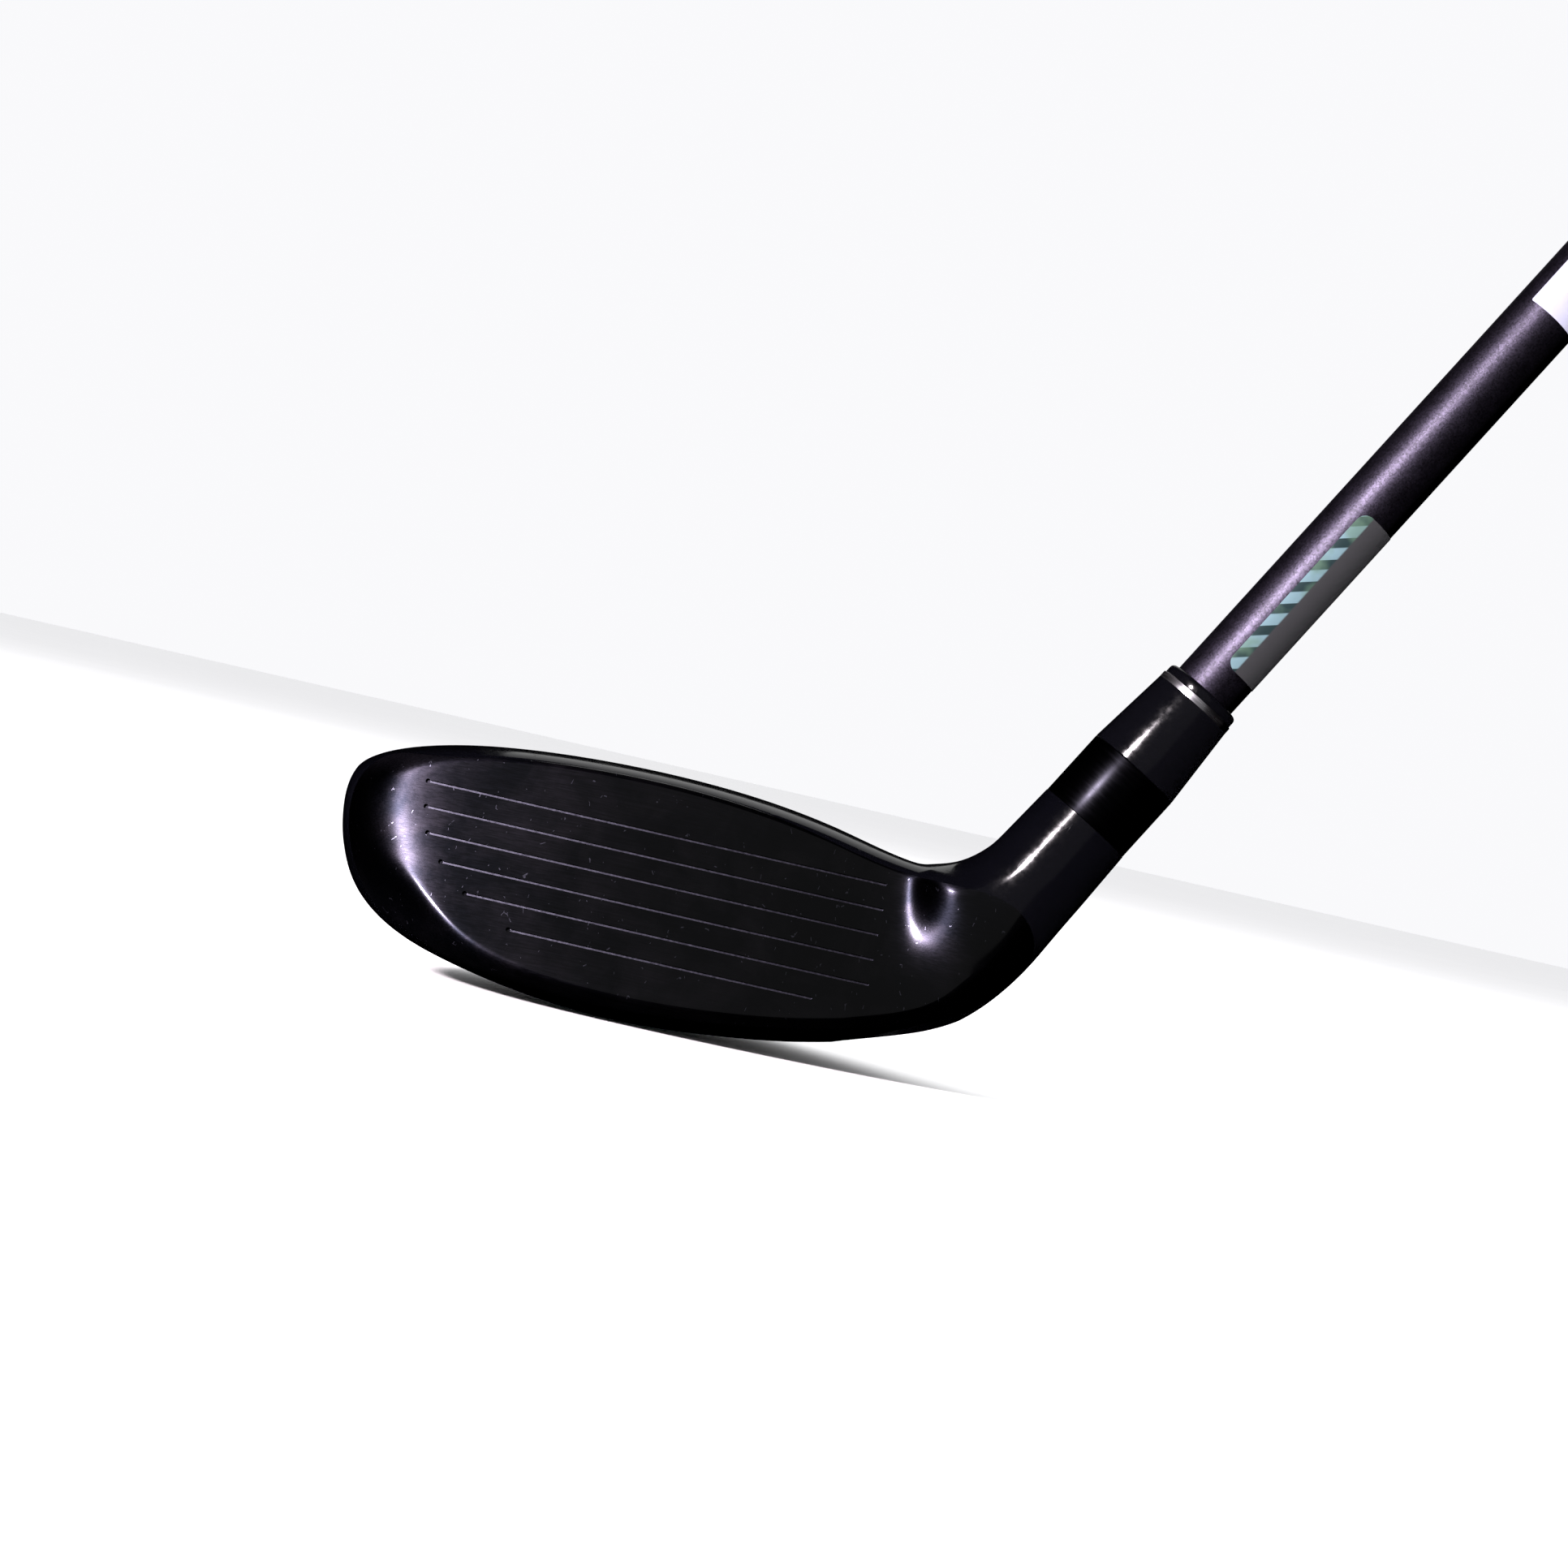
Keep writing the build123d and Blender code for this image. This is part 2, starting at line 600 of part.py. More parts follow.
with BuildPart() as grip_cap:
    cap_edge = grip_end_radius + end_cap_lip
    tube(vent_radius, cap_edge, shaft_end, club_length)
    fillet(grip_cap.edges().filter_by(GeomType.CIRCLE).filter_by(
        lambda e: e.radius > grip_end_radius), end_cap_rounding)
grip_cap.part.label = "grip_cap"
export_step(grip_cap.part, "parts/grip_cap.step")
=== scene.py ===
import json
from math import asin, cos, hypot, pi, radians, sin, tan

import bmesh
import bpy
import numpy as np
from mathutils import Matrix, Vector
from mathutils.geometry import interpolate_bezier

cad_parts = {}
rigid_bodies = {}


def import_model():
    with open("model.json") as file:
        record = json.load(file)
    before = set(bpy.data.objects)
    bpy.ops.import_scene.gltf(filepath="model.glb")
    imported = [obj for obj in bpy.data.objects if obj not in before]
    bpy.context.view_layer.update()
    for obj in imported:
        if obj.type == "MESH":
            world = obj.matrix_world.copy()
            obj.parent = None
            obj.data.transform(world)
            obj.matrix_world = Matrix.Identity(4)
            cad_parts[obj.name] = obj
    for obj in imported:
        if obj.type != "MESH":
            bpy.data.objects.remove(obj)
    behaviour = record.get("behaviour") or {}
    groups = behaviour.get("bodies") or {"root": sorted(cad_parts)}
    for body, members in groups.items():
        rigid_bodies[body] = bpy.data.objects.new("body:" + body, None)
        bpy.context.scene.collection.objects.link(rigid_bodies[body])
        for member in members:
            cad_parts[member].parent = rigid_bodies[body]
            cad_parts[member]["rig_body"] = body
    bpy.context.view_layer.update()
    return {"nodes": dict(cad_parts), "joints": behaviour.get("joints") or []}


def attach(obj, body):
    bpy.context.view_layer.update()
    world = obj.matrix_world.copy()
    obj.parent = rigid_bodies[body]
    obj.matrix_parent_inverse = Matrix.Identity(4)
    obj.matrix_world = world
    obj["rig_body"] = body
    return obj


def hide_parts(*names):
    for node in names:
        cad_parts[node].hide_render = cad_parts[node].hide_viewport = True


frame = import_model()
nodes = frame["nodes"]
mm = 0.001
print("frame loaded:", len(nodes), "nodes")

# the shaft's axis, from the screw that turns on it
screwTurn = next(j for j in frame["joints"] if j["name"] == "screw_turn")
upShaft = -Vector(screwTurn["axis"]).normalized()
screwPoint = Vector(screwTurn["pos_m"])
groundPoint = screwPoint - upShaft * (screwPoint.z / upShaft.z)
acrossShaft = Vector((upShaft.z, 0, -upShaft.x))
lie = asin(upShaft.z)
axisX = groundPoint.x / mm
# a round piece is made with x to the front, y to the heel side and z up the shaft
shaftFrame = Matrix((
    (0, acrossShaft.x, upShaft.x, groundPoint.x),
    (-1, 0, 0, 0),
    (0, acrossShaft.z, upShaft.z, 0),
    (0, 0, 0, 1)))


def span(name):
    # lowest and highest place along the shaft, and the largest radius, in mm
    local = [shaftFrame.inverted() @ v.co for v in nodes[name].data.vertices]
    heights = [p.z / mm for p in local]
    return min(heights), max(heights), max(hypot(p.x, p.y) for p in local) / mm


# ---- colours and nodes
def hexColour(code):
    # sRGB hex to the linear colour that Blender wants
    parts = [int(code[i:i + 2], 16) / 255 for i in (1, 3, 5)]
    linear = [p / 12.92 if p <= 0.04045 else ((p + 0.055) / 1.055) ** 2.4 for p in parts]
    return (*linear, 1.0)


def addNode(tree, kind, settings=None, inputs=None, stops=None):
    node = tree.nodes.new(kind)
    for key, value in (settings or {}).items():
        setattr(node, key, value)
    for key, value in (inputs or {}).items():
        if isinstance(value, bpy.types.NodeSocket):
            tree.links.new(value, node.inputs[key])
        else:
            node.inputs[key].default_value = value
    if stops:
        ramp = node.color_ramp
        while len(ramp.elements) < len(stops):
            ramp.elements.new(0.5)
        for element, (place, colour) in zip(ramp.elements, stops):
            element.position = place
            element.color = colour
    return node


def newMaterial(name):
    material = bpy.data.materials.new(name)
    material.use_nodes = True
    tree = material.node_tree
    shader = tree.nodes["Principled BSDF"]
    place = addNode(tree, "ShaderNodeTexCoord").outputs["Object"]
    return material, tree, shader, place


def alongShaft(tree, place):
    # coordinates with z up the shaft and x to the front, in metres
    return addNode(tree, "ShaderNodeMapping", {"vector_type": "TEXTURE"}, {
        "Vector": place,
        "Location": groundPoint,
        "Rotation": shaftFrame.to_euler(),
    }).outputs["Vector"]


def spread(tree, value, to, source=(0.3, 0.7)):
    # stretches one range of a value to another
    return addNode(tree, "ShaderNodeMapRange", None, {
        "Value": value, "From Min": source[0], "From Max": source[1], "To Min": to[0], "To Max": to[1]})


def plugged(material, tree, shader, colour, rough, bump=None):
    # links what every finish shares to its shader
    if colour:
        tree.links.new(colour, shader.inputs["Base Color"])
    tree.links.new(rough.outputs[0], shader.inputs["Roughness"])
    if bump:
        tree.links.new(bump.outputs[0], shader.inputs["Normal"])
    return material


# ---- making meshes
def markSharp(bm, angle=radians(38)):
    for face in bm.faces:
        face.smooth = True
    for edge in bm.edges:
        edge.smooth = len(edge.link_faces) == 2 and edge.calc_face_angle(0) < angle


def newObject(bm, name, materials):
    mesh = bpy.data.meshes.new(name)
    bm.to_mesh(mesh)
    bm.free()
    piece = bpy.data.objects.new(name, mesh)
    bpy.context.scene.collection.objects.link(piece)
    for material in materials:
        mesh.materials.append(material)
    return piece


def mount(piece, node, angle=radians(38)):
    # the piece takes the place of a CAD node: it joins the node's body, and the node is hidden
    bm = bmesh.new()
    bm.from_mesh(piece.data)
    markSharp(bm, angle)
    bm.to_mesh(piece.data)
    bm.free()
    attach(piece, nodes[node]["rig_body"])
    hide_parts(node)
    return piece


def combine(piece, tools, operation):
    # boolean with each tool, applied
    for tool in tools:
        modifier = piece.modifiers.new("cut", "BOOLEAN")
        modifier.object = tool
        modifier.operation = operation
        modifier.solver = "EXACT"
        modifier.material_mode = "TRANSFER"
    graph = bpy.context.evaluated_depsgraph_get()
    mesh = bpy.data.meshes.new_from_object(piece.evaluated_get(graph))
    piece.modifiers.clear()
    piece.data = mesh
    return piece


def copyOf(source, name):
    piece = source.copy()
    piece.data = source.data.copy()
    piece.name = name
    bpy.context.scene.collection.objects.link(piece)
    return piece


def prism(points, along, name, material=None):
    # a column over an outline, both in mm
    bm = bmesh.new()
    base = bm.faces.new([bm.verts.new(Vector(p) * mm) for p in points])
    top = bmesh.ops.extrude_face_region(bm, geom=[base])
    risen = [v for v in top["geom"] if isinstance(v, bmesh.types.BMVert)]
    bmesh.ops.translate(bm, verts=risen, vec=Vector(along) * mm)
    bmesh.ops.recalc_face_normals(bm, faces=bm.faces)
    return newObject(bm, name, [material] if material else [])


def turned(corners, name, materials, steps):
    # spins a closed profile of (radius, height, rounding) corners about the shaft's axis
    bm = bmesh.new()
    verts = [bm.verts.new((corner[0] * mm, 0, corner[1] * mm)) for corner in corners]
    bm.faces.new(verts)
    for vert, corner in zip(verts, corners):
        if len(corner) > 2:
            bmesh.ops.bevel(bm, geom=[vert], offset=corner[2] * mm, affect="VERTICES", segments=4,
                            profile=0.5, material=-1)
    bmesh.ops.delete(bm, geom=bm.faces[:], context="FACES_ONLY")
    bmesh.ops.spin(bm, geom=bm.verts[:] + bm.edges[:], axis=(0, 0, 1), cent=(0, 0, 0), dvec=(0, 0, 0),
                   angle=2 * pi, steps=steps, use_merge=True)
    bmesh.ops.remove_doubles(bm, verts=bm.verts, dist=1e-7)
    bmesh.ops.recalc_face_normals(bm, faces=bm.faces)
    bmesh.ops.transform(bm, verts=bm.verts, matrix=shaftFrame)
    return newObject(bm, name, materials)


def smoothThrough(points, count):
    # natural cubic spline through rows of numbers, spaced by their distance
    rows = np.array(points, float)
    gaps = np.linalg.norm(np.diff(rows, axis=0), axis=1)
    places = np.concatenate([[0], np.cumsum(gaps)])
    size = len(rows)
    matrix = np.zeros((size, size))
    target = np.zeros_like(rows)
    matrix[0, 0] = matrix[-1, -1] = 1
    for i in range(1, size - 1):
        matrix[i, i - 1:i + 2] = gaps[i - 1], 2 * (gaps[i - 1] + gaps[i]), gaps[i]
        target[i] = 6 * ((rows[i + 1] - rows[i]) / gaps[i] - (rows[i] - rows[i - 1]) / gaps[i - 1])
    bends = np.linalg.solve(matrix, target)
    at = np.linspace(0, places[-1], count)
    i = np.clip(np.searchsorted(places, at, side="right") - 1, 0, size - 2)
    h = gaps[i][:, None]
    a = (places[i + 1][:, None] - at[:, None]) / h
    b = 1 - a
    curve = (a ** 3 - a) * bends[i] + (b ** 3 - b) * bends[i + 1]
    return a * rows[i] + b * rows[i + 1] + curve * h * h / 6


# ---- materials
# dark coated stainless steel, brushed from heel to toe: a blue-grey sheen that smears upright
faceFinish = {
    "dark": "#13141a",
    "light": "#29272e",
    "smudge": 9.0,          # mm across a cloudy patch
    "brushPitch": 0.16,     # mm between brush marks, coarser than real so that they show
    "brushLength": 9.0,
    "roughness": (0.24, 0.34),
    "scratchPitch": 1.5,
    "scratchWidth": 0.02,   # as a share of a cell
    "scratchTurn": radians(35),
    "scratchScatter": 900.0,    # patches in a metre
    "scratchRarity": 0.66,  # higher keeps fewer patches
    "scratchColour": "#6d6c7c",
    "stretch": 0.75,        # how far the sheen is drawn out across the brushing
    "coatRoughness": 0.07,
}


def brushedDarkSteel():
    material, tree, shader, place = newMaterial("brushedDarkSteel")
    brushScale = (1 / (faceFinish["brushLength"] * mm),) + (1 / (faceFinish["brushPitch"] * mm),) * 2
    stretched = addNode(tree, "ShaderNodeMapping", None, {"Vector": place, "Scale": brushScale})
    brush = addNode(tree, "ShaderNodeTexNoise", None, {
        "Vector": stretched.outputs[0], "Scale": 1.0, "Detail": 3.0, "Roughness": 0.6})
    smudge = addNode(tree, "ShaderNodeTexNoise", None, {
        "Vector": place, "Scale": 1 / (faceFinish["smudge"] * mm), "Detail": 5.0, "Roughness": 0.62,
        "Distortion": 0.4})
    patches = addNode(tree, "ShaderNodeValToRGB", None, {"Fac": smudge.outputs[0]},
                      stops=[(0.42, hexColour(faceFinish["dark"])), (0.68, hexColour(faceFinish["light"]))])
    # knocks and fine scratches: thin cell edges kept only in a few patches
    scratchPlace = addNode(tree, "ShaderNodeMapping", None, {
        "Vector": place, "Rotation": (0, faceFinish["scratchTurn"], 0), "Scale": (1.0, 1.0, 0.35)})
    cells = addNode(tree, "ShaderNodeTexVoronoi", {"feature": "DISTANCE_TO_EDGE"}, {
        "Vector": scratchPlace.outputs[0], "Scale": 1 / (faceFinish["scratchPitch"] * mm),
        "Randomness": 1.0})
    line = addNode(tree, "ShaderNodeMath", {"operation": "LESS_THAN"}, {
        0: cells.outputs[0], 1: faceFinish["scratchWidth"]})
    where = addNode(tree, "ShaderNodeTexNoise", None, {
        "Vector": place, "Scale": faceFinish["scratchScatter"], "Detail": 2.0})
    seldom = addNode(tree, "ShaderNodeMath", {"operation": "GREATER_THAN"}, {
        0: where.outputs[0], 1: faceFinish["scratchRarity"]})
    scratch = addNode(tree, "ShaderNodeMath", {"operation": "MULTIPLY"}, {
        0: line.outputs[0], 1: seldom.outputs[0]})
    colour = addNode(tree, "ShaderNodeMix", {"data_type": "RGBA"}, {
        "Factor": scratch.outputs[0], 6: patches.outputs[0], 7: hexColour(faceFinish["scratchColour"])})
    rough = spread(tree, brush.outputs[0], faceFinish["roughness"])
    bump = addNode(tree, "ShaderNodeBump", None, {
        "Height": brush.outputs[0], "Strength": 0.35, "Distance": 0.02 * mm})
    upright = addNode(tree, "ShaderNodeTangent", {"direction_type": "UV_MAP", "uv_map": "brush"})
    shader.inputs["Metallic"].default_value = 1.0
    shader.inputs["Anisotropic"].default_value = faceFinish["stretch"]
    shader.inputs["Coat Weight"].default_value = 1.0
    shader.inputs["Coat Roughness"].default_value = faceFinish["coatRoughness"]
    tree.links.new(upright.outputs[0], shader.inputs["Tangent"])
    return plugged(material, tree, shader, colour.outputs[2], rough, bump)


# sprayed and clear-coated: deep black with sharp reflections and hairline scratches in worn patches
blackFinish = {"haze": 1.2, "hairPitch": 1.7, "hairWidth": 0.03, "wornPatch": 5.0, "coatRoughness": 0.04,
               "ior": 1.36}


def glossBlackPaint(name, base, roughness, scratches, coat):
    material, tree, shader, place = newMaterial(name)
    fine = addNode(tree, "ShaderNodeTexNoise", None, {
        "Vector": place, "Scale": 1 / (blackFinish["haze"] * mm), "Detail": 4.0, "Roughness": 0.7})
    rough = spread(tree, fine.outputs[0], roughness, (0.35, 0.7))
    cells = addNode(tree, "ShaderNodeTexVoronoi", {"feature": "DISTANCE_TO_EDGE"}, {
        "Vector": place, "Scale": 1 / (blackFinish["hairPitch"] * mm), "Randomness": 1.0})
    hair = spread(tree, cells.outputs[0], (1.0, 0.0), (0.0, blackFinish["hairWidth"]))
    patch = addNode(tree, "ShaderNodeTexNoise", None, {
        "Vector": place, "Scale": 1 / (blackFinish["wornPatch"] * mm), "Detail": 3.0})
    worn = spread(tree, patch.outputs[0], (0.0, scratches), (0.5, 0.62))
    marks = addNode(tree, "ShaderNodeMath", {"operation": "MULTIPLY"}, {
        0: hair.outputs[0], 1: worn.outputs[0]})
    bump = addNode(tree, "ShaderNodeBump", None, {
        "Height": marks.outputs[0], "Strength": 0.6, "Distance": 0.02 * mm})
    shader.inputs["Base Color"].default_value = hexColour(base)
    shader.inputs["Coat Weight"].default_value = coat
    shader.inputs["Coat Roughness"].default_value = blackFinish["coatRoughness"]
    shader.inputs["IOR"].default_value = blackFinish["ior"]
    return plugged(material, tree, shader, None, rough, bump)


# metal with turned or blasted grain: bright, with a soft edge to its reflections
def grainedMetal(name, colours, grain, roughness, bumpHeight, turnedGrain=False):
    material, tree, shader, place = newMaterial(name)
    if turnedGrain:
        place = addNode(tree, "ShaderNodeMapping", None, {
            "Vector": alongShaft(tree, place), "Scale": (0.12, 0.12, 1.0)}).outputs[0]
    noise = addNode(tree, "ShaderNodeTexNoise", None, {
        "Vector": place, "Scale": 1 / (grain * mm), "Detail": 3.0, "Roughness": 0.6})
    tint = addNode(tree, "ShaderNodeMix", {"data_type": "RGBA"}, {
        "Factor": noise.outputs[0], 6: hexColour(colours[0]), 7: hexColour(colours[1])})
    rough = spread(tree, noise.outputs[0], roughness)
    bump = addNode(tree, "ShaderNodeBump", None, {
        "Height": noise.outputs[0], "Strength": 0.4, "Distance": bumpHeight * mm})
    shader.inputs["Metallic"].default_value = 1.0
    return plugged(material, tree, shader, tint.outputs[2], rough, bump)


# charcoal paint with metal flake over graphite tube, satin: one broad lilac highlight
shaftFinish = {"dark": "#1a181f", "light": "#3a3643", "flake": 0.22, "cloud": 3.0, "roughness": (0.42, 0.5),
               "coat": 0.12, "coatRoughness": 0.4}


def satinGraphite():
    material, tree, shader, place = newMaterial("satinGraphite")
    flake = addNode(tree, "ShaderNodeTexVoronoi", None, {
        "Vector": place, "Scale": 1 / (shaftFinish["flake"] * mm)})
    cloud = addNode(tree, "ShaderNodeTexNoise", None, {
        "Vector": alongShaft(tree, place), "Scale": 1 / (shaftFinish["cloud"] * mm), "Detail": 3.0})
    tint = addNode(tree, "ShaderNodeMix", {"data_type": "RGBA"}, {
        "Factor": flake.outputs["Color"], 6: hexColour(shaftFinish["dark"]),
        7: hexColour(shaftFinish["light"])})
    rough = spread(tree, cloud.outputs[0], shaftFinish["roughness"])
    bump = addNode(tree, "ShaderNodeBump", None, {
        "Height": flake.outputs["Distance"], "Strength": 0.25, "Distance": 0.01 * mm})
    shader.inputs["Metallic"].default_value = 1.0
    shader.inputs["Coat Weight"].default_value = shaftFinish["coat"]
    shader.inputs["Coat Roughness"].default_value = shaftFinish["coatRoughness"]
    return plugged(material, tree, shader, tint.outputs[2], rough, bump)


# foil film: slanting bars of pale cyan and sea green on one part of it, plain grey beyond
labelFinish = {"barPitch": 4.0, "slant": -1.0, "fold": 1.2, "bars": "#1b2c2e", "foil": "#627b82",
               "green": "#4d6655", "greenPatch": 4.0, "plain": "#343436", "plainFrom": (0.9, 1.1)}


def hologramFilm():
    material, tree, shader, place = newMaterial("hologramFilm")
    local = addNode(tree, "ShaderNodeSeparateXYZ", None, {0: alongShaft(tree, place)})
    side = addNode(tree, "ShaderNodeMath", {"operation": "MULTIPLY"}, {
        0: local.outputs["Y"], 1: labelFinish["slant"]})
    mirrored = addNode(tree, "ShaderNodeMath", {"operation": "ADD"}, {
        0: side.outputs[0], 1: labelFinish["fold"] * mm})
    slanted = addNode(tree, "ShaderNodeMath", {"operation": "ABSOLUTE"}, {0: mirrored.outputs[0]})
    phase = addNode(tree, "ShaderNodeMath", {"operation": "ADD"}, {
        0: local.outputs["Z"], 1: slanted.outputs[0]})
    turns = addNode(tree, "ShaderNodeMath", {"operation": "DIVIDE"}, {
        0: phase.outputs[0], 1: labelFinish["barPitch"] * mm})
    saw = addNode(tree, "ShaderNodeMath", {"operation": "FRACT"}, {0: turns.outputs[0]})
    bar = addNode(tree, "ShaderNodeValToRGB", None, {"Fac": saw.outputs[0]}, stops=[
        (0.0, hexColour(labelFinish["foil"])), (0.52, hexColour(labelFinish["foil"])),
        (0.57, hexColour(labelFinish["bars"])), (0.97, hexColour(labelFinish["bars"]))])
    patch = addNode(tree, "ShaderNodeTexNoise", None, {
        "Vector": place, "Scale": 1 / (labelFinish["greenPatch"] * mm), "Detail": 2.0})
    shade = spread(tree, patch.outputs[0], (0.0, 0.6), (0.45, 0.6))
    tinted = addNode(tree, "ShaderNodeMix", {"data_type": "RGBA"}, {
        "Factor": shade.outputs[0], 6: bar.outputs[0], 7: hexColour(labelFinish["green"])})
    plainLow, plainHigh = labelFinish["plainFrom"]
    edge = spread(tree, local.outputs["Y"], (0.0, 1.0), (plainLow * mm, plainHigh * mm))
    colour = addNode(tree, "ShaderNodeMix", {"data_type": "RGBA"}, {
        "Factor": edge.outputs[0], 6: tinted.outputs[2], 7: hexColour(labelFinish["plain"])})
    shader.inputs["Metallic"].default_value = 0.35
    shader.inputs["Roughness"].default_value = 0.3
    shader.inputs["Coat Weight"].default_value = 0.6
    tree.links.new(colour.outputs[2], shader.inputs["Base Color"])
    return material


# printed film under lacquer: a cool pale grey that the key light turns to white
decalFinish = {"dark": "#838494", "light": "#9192a1", "cloud": 2.0, "roughness": (0.16, 0.26), "coat": 0.7}


def whiteDecal():
    material, tree, shader, place = newMaterial("whiteDecal")
    noise = addNode(tree, "ShaderNodeTexNoise", None, {
        "Vector": place, "Scale": 1 / (decalFinish["cloud"] * mm), "Detail": 3.0})
    tint = addNode(tree, "ShaderNodeMix", {"data_type": "RGBA"}, {
        "Factor": noise.outputs[0], 6: hexColour(decalFinish["dark"]), 7: hexColour(decalFinish["light"])})
    rough = spread(tree, noise.outputs[0], decalFinish["roughness"], (0.0, 1.0))
    shader.inputs["Coat Weight"].default_value = decalFinish["coat"]
    return plugged(material, tree, shader, tint.outputs[2], rough)


# matt stuff without metal in it: rubber, nylon, paper tape
def mattStuff(name, colours, grain, roughness, bumpHeight, sheen=0.0):
    material, tree, shader, place = newMaterial(name)
    noise = addNode(tree, "ShaderNodeTexNoise", None, {
        "Vector": place, "Scale": 1 / (grain * mm), "Detail": 5.0, "Roughness": 0.65})
    tint = addNode(tree, "ShaderNodeMix", {"data_type": "RGBA"}, {
        "Factor": noise.outputs[0], 6: hexColour(colours[0]), 7: hexColour(colours[1])})
    rough = spread(tree, noise.outputs[0], roughness)
    bump = addNode(tree, "ShaderNodeBump", None, {
        "Height": noise.outputs[0], "Strength": 0.5, "Distance": bumpHeight * mm})
    shader.inputs["Sheen Weight"].default_value = sheen
    return plugged(material, tree, shader, tint.outputs[2], rough, bump)


faceSteel = brushedDarkSteel()
scoreSteel = grainedMetal("milledScoreLine", ("#35343e", "#4f4e59"), 0.4, (0.30, 0.42), 0.01)
blackPaint = glossBlackPaint("glossBlackPaint", "#030305", (0.09, 0.17), 0.5, 0.2)
ferrulePlastic = glossBlackPaint("glossBlackFerrule", "#040406", (0.08, 0.18), 1.0, 0.15)
satinAnodising = grainedMetal("satinBlackAnodising", ("#08080a", "#0f0f12"), 0.6, (0.20, 0.30), 0.004, True)
polishedTrim = grainedMetal("polishedTrim", ("#cfcfd5", "#e6e6ea"), 0.5, (0.20, 0.30), 0.003, True)
satinSteel = grainedMetal("satinSteel", ("#85858d", "#a2a2aa"), 0.7, (0.28, 0.42), 0.01)
zincSteel = grainedMetal("zincPlatedSteel", ("#a9a89f", "#c6c5bb"), 0.5, (0.22, 0.36), 0.01)
clearAnodising = grainedMetal("clearAnodising", ("#a5a7ad", "#bfc1c6"), 0.5, (0.22, 0.32), 0.004, True)
castTungsten = grainedMetal("castTungsten", ("#5b574e", "#77726a"), 1.5, (0.45, 0.6), 0.06)
shaftPaint = satinGraphite()
labelFilm = hologramFilm()
decalFilm = whiteDecal()
gripRubber = mattStuff("gripRubber", ("#0c0c0d", "#161617"), 0.5, (0.62, 0.8), 0.06, 0.03)
nylon = mattStuff("nylon", ("#d6d2c2", "#e2dfd2"), 1.0, (0.45, 0.6), 0.02)
paperTape = mattStuff("paperTape", ("#c9b98a", "#d8ca9f"), 0.8, (0.7, 0.85), 0.05)
print("materials made")

# ---- the head's form, section by section, as the CAD lofts it
head = {
    "height": 34.4,
    "depth": 48.0,
    "toeReach": 43.7,
    "faceLead": 12.5,
    "faceFoot": 4.6,
    "faceLoft": radians(20),
    "bulgeRadius": 280.0,
    "heelHeight": 30.1,
    "crotchRadius": 12.6,
    "neckRadius": 7.25,
    "neckTopRadius": 6.95,
    "footRoom": 0.9,        # the face's foot and brow stay this far inside the sole and the crown
    "browRoom": 0.7,
    "turnFoot": 0.17,       # shares of a turned section's height
    "turnBrow": 0.08,
    "ringPoints": 24,       # on each of the five curves of a section
    "rings": 170,
}
# x as a share of the toe's reach; sole, crown, face foot and face top; tail as a share of the depth;
# setback of the face; rounding off towards an ellipse
toeSections = [
    (-1.000, 19.8, 24.6, 21.0, 23.5, 0.31, 8.2, 1.0),
    (-0.982, 16.4, 26.2, 19.5, 24.0, 0.42, 5.5, 1.0),
    (-0.942, 12.0, 27.9, 18.0, 25.3, 0.54, 3.1, 0.75),
    (-0.860, 7.9, 29.7, 17.0, 27.4, 0.67, 1.0, 0.35),
    (-0.744, 5.0, 31.3, 14.5, 28.9, 0.78, 0.2, 0.1),
    (-0.558, 2.6, 32.9, 8.8, 30.7, 0.90, 0.0, 0.0),
    (-0.279, 0.6, 34.1, 5.2, 32.1, 0.98, 0.0, 0.0),
]
# the same, with x in mm
heelSections = [
    (2.0, 0.0, 34.4, 4.6, 32.4, 1.00, 0.0, 0.0),
    (14.0, 0.9, 33.7, 5.4, 31.5, 0.95, 0.0, 0.0),
    (24.0, 2.4, 32.2, 6.9, 29.9, 0.84, 0.0, 0.0),
    (30.5, 3.9, 30.8, 8.4, 28.5, 0.71, 0.0, 0.0),
]
# share of the turn into the shaft; sole from the turning centre; tail; rounding off; how far the face
# has swung forward to the neck
turnSections = [
    (0.00, 37.6, 0.59, 0.04, 0.15),
    (0.20, 35.5, 0.45, 0.20, 0.65),
    (0.41, 32.7, 0.33, 0.50, 1.00),
    (0.63, 29.7, 0.24, 0.80, 1.00),
    (0.83, 27.7, 0.18, 0.95, 1.00),
]
turnZ = head["heelHeight"] + head["crotchRadius"]
turnX = axisX + turnZ / tan(lie) - (head["crotchRadius"] + head["neckRadius"]) / sin(lie)
turnHeight = (turnX - axisX) * upShaft.x + turnZ * upShaft.z
collar = {"ringLength": 10.0, "flangeRadius": 6.1, "flangeLength": 3.0, "glue": 0.02, "rounding": 0.12,
          "trimRounding": 0.08, "capRounding": 0.6}
ringHigh = span("ferrule")[0]
neckTop = ringHigh - collar["ringLength"]


def faceY(x, z):
    lean = (z - head["faceFoot"]) * tan(head["faceLoft"])
    return -head["faceLead"] + lean + x * x / (2 * head["bulgeRadius"])


def roundedSection(front, rear, low, high):
    y, v = (front + rear) / 2, (low + high) / 2
    a, b = (rear - front) / 2, (high - low) / 2
    stops = [radians(d) for d in (200, 160, 90, 0, -90, -160)]
    curves = []
    for start, end in zip(stops, stops[1:]):
        reach = 4 / 3 * tan((start - end) / 4)
        curves.append([
            (y + a * cos(start), v + b * sin(start)),
            (y + a * (cos(start) + reach * sin(start)), v + b * (sin(start) - reach * cos(start))),
            (y + a * (cos(end) - reach * sin(end)), v + b * (sin(end) + reach * cos(end))),
            (y + a * cos(end), v + b * sin(end))])
    return curves


